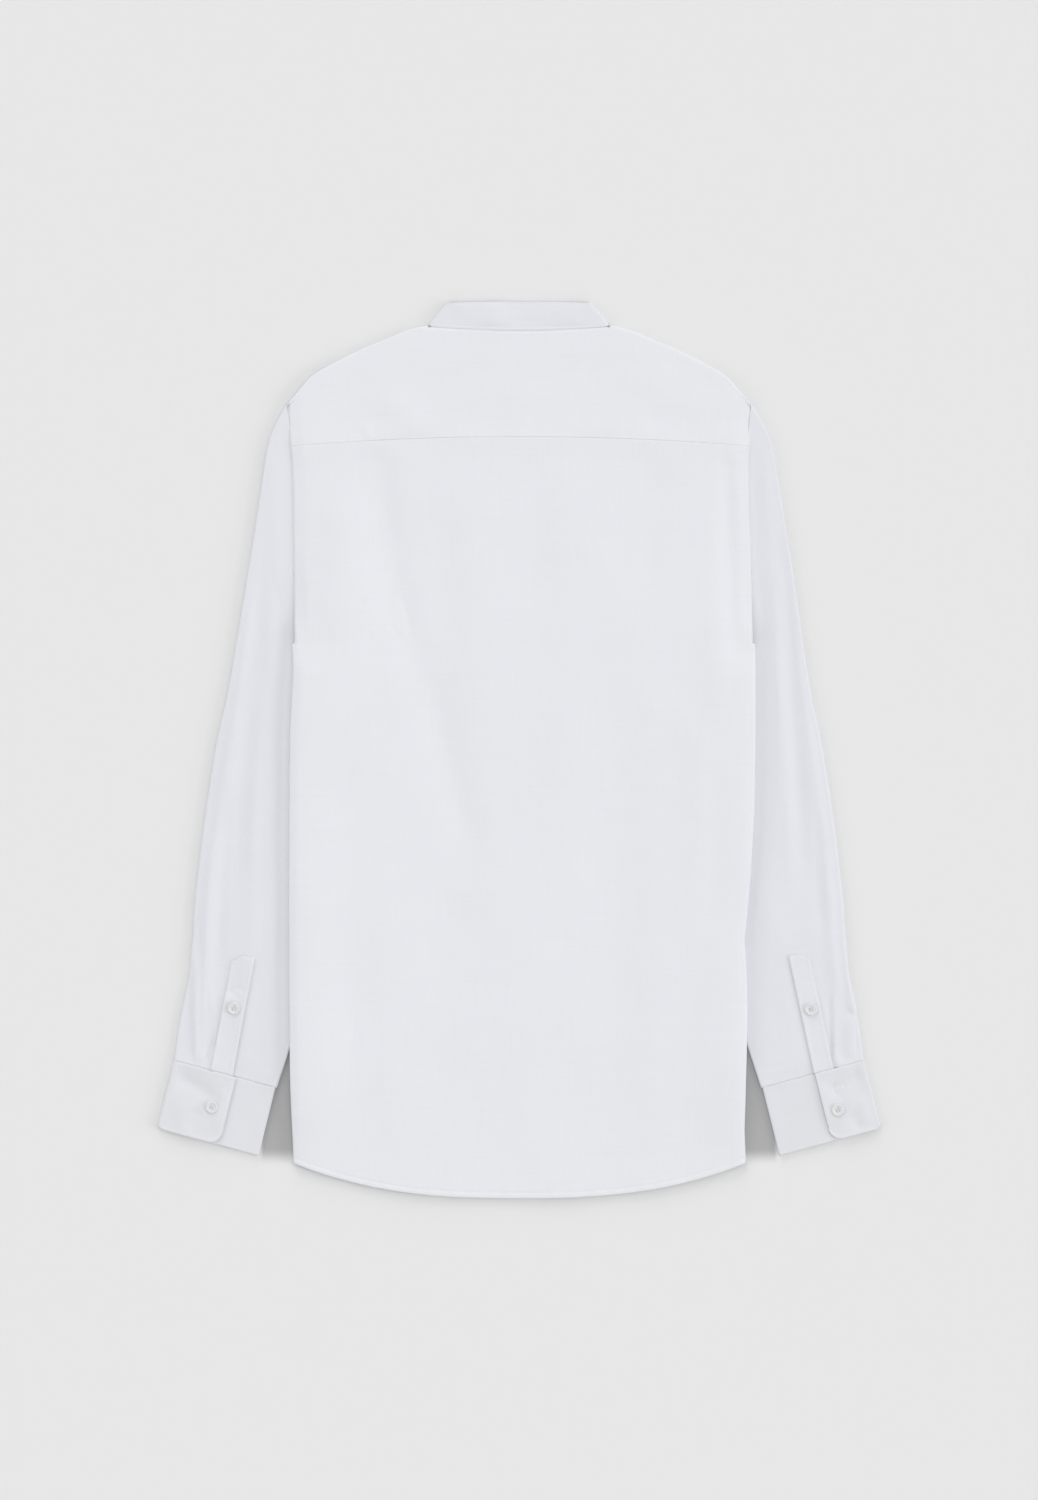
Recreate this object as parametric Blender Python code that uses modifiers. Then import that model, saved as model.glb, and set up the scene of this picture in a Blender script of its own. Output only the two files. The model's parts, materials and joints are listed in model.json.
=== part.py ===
"""Mandarin collar shirt laid flat with its back up: cut and sewn pieces at real size.

Metres, +Z up. The origin is on the ground under the middle of the shirt, +Y runs to the
collar and +X to the right as seen from above. Each cloth piece is an open sheet given its
thickness by Solidify. Every height below is that of a sheet's middle surface.
"""

import math
from collections import namedtuple

import bmesh
import bpy
from mathutils import Vector

# ---------------------------------------------------------------- driving dimensions

WALL = 0.001            # thickness of the shirt cloth
STIFF_WALL = 0.0012     # collar band, two layers and interlining
CUFF_WALL = 0.0014      # cuff, two layers and interlining
GAP = 0.0003            # clearance between pieces that touch
LAYER = WALL + GAP      # rise from one sheet to the next one above it

FOLD_X = 0.196          # line on which the sides of the body are turned under
SHIFT_FADE = (0.262, 0.205)     # the sleeves don't follow the shift of the body's sides
TURN_UNDER = 0.078      # width of the turned-under side, fold line to side seam
BACK_TURN = 1.5 * LAYER     # bend radius of the back round the fold line
FRONT_TURN = 0.5 * LAYER    # bend radius of the front, inside that of the back

UNDERARM_Y = 0.062      # underarm point, where armhole, side and sleeve seams meet
NOTCH_Y = 0.094         # both armhole edges reach the fold line

BACK_HEM_Y = -0.3942    # back hem at the centre
FRONT_HEM_Y = -0.3920   # front hem at the centre, a little shorter
HEM_RISE = 0.031        # rise of the hem at HEM_RISE_X from the centre
HEM_RISE_X = 0.198
HEM_POWER = 2.6

YOKE_SEAM_Y = 0.2752    # yoke seam at the centre
YOKE_SEAM_DROP = 0.0075  # how much lower it lies at the armholes
YOKE_HALF = 0.2035      # half-width of the yoke at the shoulder tip
FORWARD_SEAM_Y = 0.3418     # forward shoulder seam at the neck
FORWARD_SLOPE = 0.38    # its slope there, about that of the shoulder
FORWARD_CURVE = 0.9     # how it steepens towards the armhole
SHOULDER_NECK_X = 0.0805    # neck end of the shoulder fold

NECK_X = 0.0772         # half-width of the collar at the neck seam
NECK_Y = 0.3724         # neck seam at the collar's side folds
BACK_NECK_Y = 0.3687    # neck seam at the centre back
FRONT_NECK_DROP = 0.0724    # neck seam from the side folds down to the centre front
BAND_TOP_X = 0.0610     # half-width of the collar at its top edge
BAND_TOP_Y = 0.3930     # top edge at the side folds
BAND_PEAK_Y = 0.3942    # top edge at the centre back
BAND_TOP_DROP = 0.0650  # top edge from the side folds down to the centre front
BAND_LOW = 0.0006       # height of the band's front half
BAND_LIFT = 0.0002      # the band's neck edge above the back at its side folds
BAND_LAP = (0.044, 0.017)   # its ends rise onto the button between these
BAND_TOP_HEIGHT = 0.0034    # height of the band's back half at its top edge

LAP_HALF = 0.017        # half of the fronts' overlap at the centre
LAP_RISE_LEFT = (-0.041, -0.0175)   # the left front rises onto the buttons
LAP_RISE_RIGHT = (0.043, 0.0185)    # the right front rises onto the left one
LAST_BUTTON = (-0.300, -0.225)      # the fronts lie flat below this stretch
BACK_CENTRE = 0.0054    # height of the back over the buttoned fronts
BACK_DIP = 0.0007       # dip of the back beside them
BACK_DIP_X = (0.026, 0.075)     # stretch over which it dips
BACK_RISE = 0.0004      # rise of the back towards the fold lines
BACK_RISE_X = (0.135, 0.182)
HEM_SETTLE = 0.0018     # how much the centre settles below the last button
TURNED_X = (0.058, 0.117)       # the layers rise onto the turned-under sides here
TURNED_Y = (0.190, 0.101)       # the same rise, from the armholes down
SLEEVE_UNDER_Y = (-0.365, -0.262)   # the sleeves lie under the body above this stretch
HEAD_UNDER_X = (0.156, 0.176)   # the fronts rise onto the sleeve heads here

SLEEVE_LOW = 0.0005     # height of the sleeve's lower layer
SLEEVE_PRESSED = 0.0018     # its upper layer where the body lies on it
SLEEVE_FREE = 0.0037    # its upper layer where nothing lies on it
SLEEVE_CUFF = 0.0030    # its upper layer at the cuff
SLEEVE_CUFF_Y = (-0.150, -0.200)    # stretch over which it comes down to that
SLEEVE_HEAD_Y = (0.112, 0.165)  # it is free above this stretch
SLEEVE_CLEAR_X = 0.2025     # the sleeve is free beyond this distance from the centre
SLEEVE_CLEAR = 0.019    # width over which it rises there
SLEEVE_INSET = 0.0021   # outline to the centre of the sleeve's fold
SLEEVE_BOW = 0.42       # share of its length over which the curve of its head dies out
SLEEVE_FOLD_POWER = 1.62    # how the inner fold's points gather towards the underarm

CUFF_WIDTH = 0.0928     # outer fold to inner fold
CUFF_HEIGHT = 0.0615
CUFF_CORNER = 0.011     # radius of the over-flap's corner
CUFF_SOFT = 0.005       # radius of the cuff's lower corner at its outer fold
CUFF_LAP = 0.022        # length of the under-flap below the over-flap
CUFF_TOP = Vector((-0.3036, -0.2728))    # left cuff, outer end of its top seam
CUFF_ACROSS = Vector((0.9654, -0.2607))  # along the seam, from outer to inner fold
CUFF_DOWN = Vector((-0.2430, -0.9700))   # from the seam to the cuff's edge
CUFF_LOW = 0.0007       # heights of the cuff's three layers
CUFF_MIDDLE = 0.0024
CUFF_HIGH = 0.0041
CUFF_EASED = 0.0032     # the over-flap beside the lap
CUFF_EASE = 0.3         # share of the over-flap's length before it rises onto the lap

PLACKET_CLEAR = 0.0005  # from the placket's foot to the cuff's seam
PLACKET_ROWS = 7

NECK_STEPS = (0.010, 0.0185, 0.031, 0.043, 0.056, 0.066)   # points shared at the neck seam
NECK_CORNER = 0.0704    # where the neck seam meets the forward seam
STRAP_CLEAR = 0.0027    # extra room between the yoke's strap and the band's side fold
STRAP_CLEAR_Y = (0.350, 0.3715)
SHOULDER_BEND = 0.0030  # outline to the centre of the shoulder fold's bend
BAND_END = 0.01275      # how far each end of the band runs past the centre front

BUTTON_RADIUS = 0.0055
BUTTON_THICK = 0.0015
BUTTON_SIDES = 14
FIRST_BUTTON_Y = 0.235
BUTTON_PITCH = 0.088
FRONT_BUTTONS = 6
COLLAR_BUTTON_Y = 0.314

CLOTH = (0.80, 0.81, 0.85, 1.0)
CLOTH_ROUGHNESS = 0.9
PEARL = (0.84, 0.84, 0.82, 1.0)
PEARL_ROUGHNESS = 0.25

# ---------------------------------------------------------------- short tables

Edge = namedtuple("Edge", "y x")
Point = namedtuple("Point", "share x y")
Fold = namedtuple("Fold", "top_x top_y foot_x foot_y height reach")
Sides = namedtuple("Sides", "left right")
Strip = namedtuple("Strip", "top_x top_y foot_x foot_y width corner")
Spot = namedtuple("Spot", "x y")

# Outline of the sleeve from the shoulder tip to the cuff: distance from the centre line.
SLEEVE_OUTER = (
    Edge(0.3036, 0.2064), Edge(0.2904, 0.2138), Edge(0.2728, 0.2204), Edge(0.2552, 0.2240),
    Edge(0.2200, 0.2288), Edge(0.1848, 0.2341), Edge(0.1144, 0.2455), Edge(0.0440, 0.2578),
    Edge(0.0088, 0.2658), Edge(-0.0616, 0.2768), Edge(-0.1320, 0.2851), Edge(-0.1672, 0.2873),
    Edge(-0.2024, 0.2913), Edge(-0.2376, 0.2988), Edge(-0.2728, 0.3036),
)
# Inner fold of the sleeve from the underarm to the cuff.
SLEEVE_INNER = (
    Edge(0.0620, 0.1200), Edge(-0.0960, 0.1600), Edge(-0.2550, 0.2005), Edge(-0.2970, 0.2143),
)
# Shoulder fold as an outline, from the neck to the shoulder tip, by distance from the centre.
SHOULDER = (
    Edge(0.3745, 0.0788), Edge(0.3705, 0.0964), Edge(0.3617, 0.1175), Edge(0.3529, 0.1386),
    Edge(0.3423, 0.1597), Edge(0.3309, 0.1808), Edge(0.3195, 0.1914), Edge(0.3050, 0.2035),
)
# Armhole edges of the back and of the front, above the notch.
BACK_ARMHOLE = (
    Edge(0.3050, 0.2035), Edge(0.2730, 0.2015), Edge(0.2400, 0.1990), Edge(0.1850, 0.1975),
    Edge(0.0940, 0.1960),
)
FRONT_ARMHOLE = (
    Edge(0.3050, 0.2035), Edge(0.2850, 0.1980), Edge(0.2620, 0.1910), Edge(0.2300, 0.1870),
    Edge(0.1800, 0.1840), Edge(0.1350, 0.1840), Edge(0.1120, 0.1870), Edge(0.0940, 0.1960),
)
# The sleeve's own edge at the armhole, from the underarm to the shoulder tip.
SLEEVE_HEAD_BACK = (
    Point(0.00, 0.1200, 0.0620), Point(0.14, 0.1500, 0.0730), Point(0.28, 0.1820, 0.0850),
    Point(0.38, 0.1925, 0.1020), Point(0.54, 0.1940, 0.1550), Point(0.72, 0.1960, 0.2150),
    Point(0.88, 0.2000, 0.2720), Point(1.00, 0.2042, 0.3015),
)
SLEEVE_HEAD_FRONT = (
    Point(0.00, 0.1200, 0.0620), Point(0.14, 0.1480, 0.0720), Point(0.26, 0.1730, 0.0820),
    Point(0.36, 0.1800, 0.1000), Point(0.52, 0.1810, 0.1550), Point(0.72, 0.1840, 0.2150),
    Point(0.88, 0.1920, 0.2680), Point(1.00, 0.2042, 0.3015),
)
# How far each body side lies beyond the even half-width at a given height.
BODY_SHIFT = Sides(
    left=(Edge(0.30, 0.000), Edge(0.10, -0.001), Edge(0.00, 0.003), Edge(-0.28, 0.003),
          Edge(-0.36, 0.000)),
    right=(Edge(0.30, 0.000), Edge(0.24, -0.003), Edge(0.11, -0.009), Edge(-0.03, -0.009),
           Edge(-0.10, -0.006), Edge(-0.20, 0.002), Edge(-0.30, 0.001), Edge(-0.36, -0.001)),
)
BODY_FOLDS = (
    Fold(-0.118, 0.262, -0.042, -0.115, -0.0009, 0.016),
    Fold(-0.150, 0.235, -0.128, -0.020, 0.0008, 0.022),
    Fold(0.176, 0.262, 0.176, 0.120, -0.0006, 0.010),
    Fold(0.145, 0.060, 0.150, -0.190, 0.0006, 0.014),
    Fold(0.060, 0.200, 0.052, -0.060, 0.0006, 0.022),
)
SLEEVE_FOLDS = Sides(
    left=(Fold(0.236, 0.150, 0.262, -0.150, -0.0009, 0.009),
          Fold(0.272, -0.080, 0.2775, -0.255, 0.0009, 0.006),
          Fold(0.2865, -0.175, 0.2870, -0.280, -0.0009, 0.004)),
    right=(Fold(0.236, 0.150, 0.263, -0.150, -0.0009, 0.009),
           Fold(0.2700, -0.120, 0.2800, -0.205, 0.0007, 0.006),
           Fold(0.2870, -0.140, 0.2940, -0.280, -0.0009, 0.004)),
)
FLAP_END = Sides(left=0.057, right=0.045)
CUFF_BUTTON = Sides(left=Spot(0.0425, 0.031), right=Spot(0.0335, 0.036))
PLACKET = Sides(
    left=Strip(0.2415, -0.1800, 0.2600, -0.2765, 0.0200, 0.008),
    right=Strip(0.2455, -0.1790, 0.2665, -0.2755, 0.0180, 0.006),
)
SLEEVE_BUTTON = Sides(left=Spot(0.2507, -0.2270), right=Spot(0.2565, -0.2279))


# ---------------------------------------------------------------- curves and ramps

def mix(a, b, share):
    return a + (b - a) * share


def ramp(value, start, end):
    """Smooth rise from 0 at start to 1 at end, either way round."""
    share = min(max((value - start) / (end - start), 0.0), 1.0)
    return share * share * (3.0 - 2.0 * share)


def smooth(keys, values, at):
    """Smooth curve through values at rising or falling keys."""
    if keys[0] > keys[-1]:
        keys = keys[::-1]
        values = values[::-1]
    if at <= keys[0]:
        return values[0]
    if at >= keys[-1]:
        return values[-1]
    last = len(keys) - 1
    i = max(k for k in range(last) if keys[k] <= at)
    slopes = []
    for k in (i, i + 1):
        before = max(k - 1, 0)
        after = min(k + 1, last)
        slopes.append((values[after] - values[before]) / (keys[after] - keys[before]))
    span = keys[i + 1] - keys[i]
    t = (at - keys[i]) / span
    start = values[i] * (2 * t**3 - 3 * t**2 + 1) + slopes[0] * span * (t**3 - 2 * t**2 + t)
    end = values[i + 1] * (3 * t**2 - 2 * t**3) + slopes[1] * span * (t**3 - t**2)
    return start + end


def x_at(table, y):
    """Distance from the centre line of a table of edges at height y."""
    return smooth([row.y for row in table], [row.x for row in table], y)


def y_at(table, x):
    """Height up the shirt of a table of edges at distance x."""
    return smooth([row.x for row in table], [row.y for row in table], x)


def folds_height(folds, x, y):
    """Sum of the soft ridges and troughs at a point of a panel."""
    total = 0.0
    for fold in folds:
        run = Vector((fold.foot_x - fold.top_x, fold.foot_y - fold.top_y))
        away = Vector((x - fold.top_x, y - fold.top_y))
        share = away.dot(run) / run.length_squared
        off = abs(away.cross(run)) / run.length
        fade = ramp(share, -0.08, 0.15) * ramp(share, 1.08, 0.80)
        total += fold.height * fade * math.exp(-(off / fold.reach) ** 2)
    return total


def body_shift(x, y):
    """Sideways shift of a body point: the two sides aren't quite even."""
    table = BODY_SHIFT.right if x > 0.0 else BODY_SHIFT.left
    share = ramp(abs(x), 0.0, FOLD_X) * ramp(abs(x), *SHIFT_FADE)
    return math.copysign(x_at(table, y) * share, x)


# ---------------------------------------------------------------- heights of the layers

def margin(x, y):
    """1 where the body's side is turned under, 0 in the middle and at the armholes."""
    return ramp(abs(x), *TURNED_X) * ramp(y, *TURNED_Y)


def over_sleeve(y):
    """1 down to where the sleeves come out from under the body, then fading to the hem."""
    return ramp(y, *SLEEVE_UNDER_Y)


def over_armhole(x, y):
    """1 where the front lies on the lower edge of the sleeve head."""
    return ramp(abs(x), *HEAD_UNDER_X) * (1.0 - margin(x, y))


def buttoned(y):
    """1 down to the last front button, then fading to the hem."""
    return ramp(y, *LAST_BUTTON)


def front_height(x, y):
    layers = 2.0 * margin(x, y) * (1.0 + over_sleeve(y)) + over_armhole(x, y)
    return WALL / 2.0 + LAYER * layers


def lapped_front_height(side, x, y):
    """Front with its rise at the centre: the left one on the buttons, the right one on it."""
    lift = (BUTTON_THICK + GAP) * buttoned(y)
    if side > 0:
        lift += LAYER
        return front_height(x, y) + lift * ramp(x, *LAP_RISE_RIGHT)
    return front_height(x, y) + lift * ramp(x, *LAP_RISE_LEFT)


def back_height(x, y):
    """Back panel and yoke where they lie on top."""
    share = margin(x, y)
    dip = ramp(abs(x), *BACK_DIP_X)
    centre = BACK_CENTRE - BACK_DIP * dip + BACK_RISE * ramp(abs(x), *BACK_RISE_X)
    centre -= HEM_SETTLE * (1.0 - buttoned(y)) * (1.0 - 0.5 * dip)
    sides = WALL / 2.0 + LAYER * (3.0 + 2.0 * over_sleeve(y))
    return mix(centre, sides, share) + folds_height(BODY_FOLDS, x, y)


def sleeve_height(side, x, y):
    """Upper layer of a sleeve; x is the distance from the centre line."""
    armhole = ramp(y, *SLEEVE_HEAD_Y)
    clear = ramp(x, SLEEVE_CLEAR_X, SLEEVE_CLEAR_X + SLEEVE_CLEAR)
    height = SLEEVE_PRESSED + (SLEEVE_FREE - SLEEVE_PRESSED) * max(armhole, clear)
    height -= (SLEEVE_FREE - SLEEVE_CUFF) * clear * ramp(y, *SLEEVE_CUFF_Y)
    folds = SLEEVE_FOLDS.right if side > 0 else SLEEVE_FOLDS.left
    return height + folds_height(folds, x, y) * clear


# ---------------------------------------------------------------- seam lines

def hem(centre_y, x):
    """Curved hem; x runs on past the fold line on the turned-under side."""
    return centre_y + HEM_RISE * (abs(x) / HEM_RISE_X) ** HEM_POWER


def yoke_seam(x):
    return YOKE_SEAM_Y - YOKE_SEAM_DROP * (x / FOLD_X) ** 2


def to_edge(x, half, edge):
    """Move x outwards or inwards so that a panel of even half-width ends at edge."""
    return x * (1.0 + (edge / half - 1.0) * (abs(x) / half) ** 4)


def shoulder_fold(x):
    """Centre of the bend of the shoulder fold."""
    return y_at(SHOULDER, abs(x)) - SHOULDER_BEND


def forward_seam(x):
    """Seam of the yoke to a front, from the corner at the neck out to the armhole."""
    out = abs(x) - NECK_CORNER
    return FORWARD_SEAM_Y - FORWARD_SLOPE * out - FORWARD_CURVE * out * out


def neck_x(y):
    """Front neck seam: distance from the centre at height y."""
    share = min(max((NECK_Y - y) / FRONT_NECK_DROP, 0.0), 1.0)
    return NECK_X * math.sqrt(1.0 - share * share)


def front_neck_y(x):
    """Neck edge of the fronts, just outside the band: height at distance x."""
    share = abs(x) / (NECK_X + GAP)
    return NECK_Y - (FRONT_NECK_DROP + GAP) * math.sqrt(1.0 - share * share)


def cuff_point(side, across, down, z):
    """Point of a cuff from its own measures."""
    flat = CUFF_TOP + CUFF_ACROSS * across + CUFF_DOWN * down
    return Vector((math.copysign(flat.x, side), flat.y, z))


# ---------------------------------------------------------------- building tools

def material(name, colour, roughness):
    finish = bpy.data.materials.new(name)
    finish.use_nodes = True
    shader = finish.node_tree.nodes["Principled BSDF"]
    shader.inputs["Base Color"].default_value = colour
    shader.inputs["Roughness"].default_value = roughness
    shader.inputs["Metallic"].default_value = 0.0
    return finish


def new_object(name, mesh, home, colour, roughness):
    mesh.shade_smooth()
    mesh.set_sharp_from_angle(angle=math.radians(40.0))
    thing = bpy.data.objects.new(name, mesh)
    thing.data.materials.append(material(name, colour, roughness))
    home.objects.link(thing)
    return thing


def sheet(name, home, columns, rows, place, keep=None, wall=WALL):
    """Cloth piece: a grid with its points placed by place(column, row), given a wall."""
    across = len(columns) - 1
    along = len(rows) - 1
    bm = bmesh.new()
    bmesh.ops.create_grid(bm, x_segments=across, y_segments=along, size=0.5)
    at = {}
    for vert in bm.verts:
        at[vert] = (round((vert.co.x + 0.5) * across), round((vert.co.y + 0.5) * along))
    if keep:
        spare = []
        for face in bm.faces:
            i = min(at[vert][0] for vert in face.verts)
            j = min(at[vert][1] for vert in face.verts)
            if not keep(columns[i], columns[i + 1], j):
                spare.append(face)
        bmesh.ops.delete(bm, geom=spare, context="FACES")
    for vert in bm.verts:
        i, j = at[vert]
        vert.co = place(columns[i], rows[j])
    bmesh.ops.remove_doubles(bm, verts=bm.verts, dist=1e-6)
    bmesh.ops.recalc_face_normals(bm, faces=bm.faces)
    mesh = bpy.data.meshes.new(name)
    bm.to_mesh(mesh)
    bm.free()
    thing = new_object(name, mesh, home, CLOTH, CLOTH_ROUGHNESS)
    thick = thing.modifiers.new("wall", "SOLIDIFY")
    thick.thickness = wall
    thick.offset = 0.0
    return thing


def shares(count):
    return [k / count for k in range(count + 1)]


# ---------------------------------------------------------------- body panels

def turned_columns(main, radius, steps):
    """Columns out to the fold line, round the bend in equal steps and back under."""
    arc = [radius * math.pi * k / steps for k in range(1, steps + 1)]
    end = FOLD_X + arc[-1]
    return main + [FOLD_X + a for a in arc] + [end + TURN_UNDER / 2.0, end + TURN_UNDER]


def place_turned(w, y, radius, top, under):
    """Point of a panel whose side is turned under at the fold line; w is along the cloth."""
    out = abs(w)
    arc = math.pi * radius
    if out <= FOLD_X:
        x = out
        z = top(math.copysign(x, w), y)
    elif out < FOLD_X + arc - 1e-9:
        angle = (out - FOLD_X) / radius
        x = FOLD_X + radius * math.sin(angle)
        z = top(math.copysign(FOLD_X, w), y) - radius * (1.0 - math.cos(angle))
    else:
        x = 2.0 * FOLD_X + arc - out
        z = under(y)
    x = math.copysign(x, w)
    return Vector((x + body_shift(x, y), y, z))


def armhole_drop(w):
    """Armhole edge on the turned-under side, from the notch down to the underarm."""
    share = min(max((abs(w) - FOLD_X) / TURN_UNDER, 0.0), 1.0)
    return mix(NOTCH_Y, UNDERARM_Y, share)


def body_rows(above, below):
    """Rows above the armhole notch and below it, as shares of each stretch."""
    return [("above", k / above) for k in range(above)] + [("below", s) for s in shares(below)]


def build_back(home):
    half = [0.0, 0.024, 0.044, 0.062, 0.076, 0.090, 0.104, 0.117, 0.132, 0.146, 0.160, 0.178,
            FOLD_X]
    half = turned_columns(half, BACK_TURN, 4)
    columns = [-w for w in reversed(half[1:])] + half
    above = 7

    def under(y):
        return WALL / 2.0 + 2.0 * LAYER * over_sleeve(y)

    def place(w, row):
        part, share = row
        notch = armhole_drop(w)
        if part == "above":
            seam_x = to_edge(w, FOLD_X, x_at(BACK_ARMHOLE, YOKE_SEAM_Y - YOKE_SEAM_DROP))
            y = mix(yoke_seam(seam_x) - GAP / 2.0, notch, share)
            x = to_edge(w, FOLD_X, x_at(BACK_ARMHOLE, y))
            return Vector((x + body_shift(x, y), y, back_height(x, y)))
        y = mix(notch, hem(BACK_HEM_Y, w), share)
        return place_turned(w, y, BACK_TURN, back_height, under)

    def keep(start, end, row):
        return row >= above or max(abs(start), abs(end)) <= FOLD_X

    return sheet("back_panel", home, columns, body_rows(above, 15), place, keep)


def yoke_front_point(x, share):
    """Point of the yoke's front strap, from the shoulder fold down to the forward seam."""
    span = (abs(x) - SHOULDER_NECK_X) / (YOKE_HALF - SHOULDER_NECK_X)
    at = abs(x)
    y = shoulder_fold(x)
    for _ in range(4):
        y = mix(shoulder_fold(x), forward_seam(at) + 1.2 * GAP, share)
        neck_edge = neck_x(y) + 2.0 * GAP + STRAP_CLEAR * ramp(y, *STRAP_CLEAR_Y)
        neck_shift = neck_edge - SHOULDER_NECK_X
        armhole_shift = x_at(FRONT_ARMHOLE, y) - YOKE_HALF
        at = abs(x) + neck_shift * (1.0 - span) ** 2 + armhole_shift * span ** 4
    return math.copysign(at, x), y


def build_yoke(home):
    outer = [SHOULDER_NECK_X, 0.098, 0.118, 0.139, 0.160, 0.181, 0.193, YOKE_HALF]
    half = [0.0, 0.027, 0.054] + outer
    columns = [-x for x in reversed(half[1:])] + half
    back_rows = 4
    rows = [("back", s) for s in shares(back_rows)]
    rows += [("bend", angle) for angle in (45.0, 90.0, 135.0)]
    rows += [("front", s) for s in shares(2)]

    def place(x, row):
        part, share = row
        fold_y = shoulder_fold(x)
        if abs(x) < SHOULDER_NECK_X:
            fold_y = BACK_NECK_Y - GAP + (NECK_Y - BACK_NECK_Y) * (x / NECK_X) ** 2
        if part == "back":
            seam_x = to_edge(x, YOKE_HALF, x_at(BACK_ARMHOLE, YOKE_SEAM_Y - YOKE_SEAM_DROP))
            y = mix(yoke_seam(seam_x) + GAP / 2.0, fold_y, share)
            at = to_edge(x, YOKE_HALF, x_at(BACK_ARMHOLE, y))
            return Vector((at + body_shift(at, y), y, back_height(at, y)))
        if part == "bend":
            high = back_height(x, fold_y)
            radius = (high - front_height(x, fold_y)) / 2.0
            angle = math.radians(share)
            y = fold_y + radius * math.sin(angle)
            return Vector((x + body_shift(x, y), y, high - radius * (1.0 - math.cos(angle))))
        at, y = yoke_front_point(x, share)
        return Vector((at + body_shift(at, y), y, front_height(at, y)))

    def keep(start, end, row):
        return row < back_rows or min(abs(start), abs(end)) >= SHOULDER_NECK_X

    return sheet("back_yoke", home, columns, rows, place, keep)


def front_top(w):
    """Top edge of a front at column w: the neck seam, then the forward seam."""
    if abs(w) <= NECK_CORNER:
        return front_neck_y(w)
    out = w
    for _ in range(4):
        y = forward_seam(out)
        out = to_edge(w, FOLD_X, x_at(FRONT_ARMHOLE, y))
    return y


def build_front(name, side, home):
    """One front. side is -1 for the left, whose edge laps under the right one's."""
    middle = [-LAP_HALF, -BAND_END, 0.0] + list(NECK_STEPS)
    middle += [NECK_CORNER, 0.082, 0.094, 0.106, 0.117, 0.137, 0.156, 0.177, FOLD_X]
    columns = turned_columns(middle, FRONT_TURN, 3)
    above = 7

    def under(y):
        return WALL / 2.0 + LAYER * (1.0 + 2.0 * over_sleeve(y))

    def top(x, y):
        return lapped_front_height(side, x, y)

    def place(w, row):
        part, share = row
        notch = armhole_drop(w)
        if part == "above":
            y = mix(front_top(w), notch, share)
            x = side * to_edge(w, FOLD_X, x_at(FRONT_ARMHOLE, y))
            return Vector((x + body_shift(x, y), y, top(x, y)))
        y = mix(notch, hem(FRONT_HEM_Y, w), share)
        return place_turned(side * w, y, FRONT_TURN, top, under)

    def keep(start, end, row):
        return row >= above or end <= FOLD_X

    return sheet(name, home, columns, body_rows(above, 15), place, keep)


# ---------------------------------------------------------------- collar band

def build_collar(home):
    """Stand collar: over the neck at the back, folded at both sides, buttoned in front."""
    arc = [-BAND_END, 0.0] + list(NECK_STEPS) + [NECK_CORNER, 0.0750, NECK_X]
    columns = [(-1, "front", x) for x in arc]
    columns += [(-1, "bend", angle) for angle in (135.0, 90.0, 45.0)]
    columns += [(0, "back", b) for b in (-1.0, -0.7, -0.35, 0.0, 0.35, 0.7, 1.0)]
    columns += [(1, "bend", angle) for angle in (45.0, 90.0, 135.0)]
    columns += [(1, "front", x) for x in reversed(arc)]
    along_fold = Vector((BAND_TOP_X - NECK_X, BAND_TOP_Y - NECK_Y)).normalized()
    out = Vector((along_fold.y, -along_fold.x))

    def high(share):
        return mix(back_height(NECK_X, NECK_Y) + BAND_LIFT, BAND_TOP_HEIGHT, share)

    def place(column, share):
        side, part, at = column
        if part == "back":
            x = mix(NECK_X, BAND_TOP_X, share) * at
            low = mix(BACK_NECK_Y, NECK_Y, at * at)
            peak = mix(BAND_PEAK_Y, BAND_TOP_Y, at ** 4)
            level = mix(back_height(x, BACK_NECK_Y), high(share), max(share, at * at))
            return Vector((x, mix(low, peak, share), level))
        if part == "bend":
            start = Vector((mix(NECK_X, BAND_TOP_X, share), mix(NECK_Y, BAND_TOP_Y, share)))
            radius = (high(share) - BAND_LOW) / 2.0
            angle = math.radians(at)
            spot = start + out * radius * math.sin(angle)
            return Vector((side * spot.x, spot.y, high(share) - radius * (1.0 - math.cos(angle))))
        x = mix(NECK_X, BAND_TOP_X, share) * at / NECK_X
        drop = mix(FRONT_NECK_DROP, BAND_TOP_DROP, share)
        y = mix(NECK_Y, BAND_TOP_Y, share) - drop * math.sqrt(1.0 - (at / NECK_X) ** 2)
        lift = BUTTON_THICK + GAP
        if side > 0:
            lift += STIFF_WALL + GAP
        z = BAND_LOW + lift * ramp(x, *BAND_LAP)
        return Vector((side * x, y, z))

    return sheet("collar_band", home, columns, shares(3), place, wall=STIFF_WALL)


# ---------------------------------------------------------------- sleeves and cuffs

def head_point(table, share):
    keys = [row.share for row in table]
    x = smooth(keys, [row.x for row in table], share)
    y = smooth(keys, [row.y for row in table], share)
    return Vector((x, y))


def sleeve_line(head, down, share):
    """Point of a sleeve layer in plan: down the sleeve, and across from inner to outer fold."""
    outer_y = mix(SLEEVE_HEAD_BACK[-1].y, CUFF_TOP.y, down)
    inner_y = mix(UNDERARM_Y, SLEEVE_INNER[-1].y, down ** SLEEVE_FOLD_POWER)
    outer = Vector((x_at(SLEEVE_OUTER, outer_y) - SLEEVE_INSET, outer_y))
    inner = Vector((x_at(SLEEVE_INNER, inner_y), inner_y))
    start_outer = head_point(head, 1.0)
    start_inner = head_point(head, 0.0)
    bow = head_point(head, share) - start_inner.lerp(start_outer, share)
    bow *= max(1.0 - down / SLEEVE_BOW, 0.0) ** 2
    settle = ramp(down, 0.05, 0.0)
    outer = outer.lerp(start_outer, settle)
    return inner.lerp(outer, share) + bow


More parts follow.
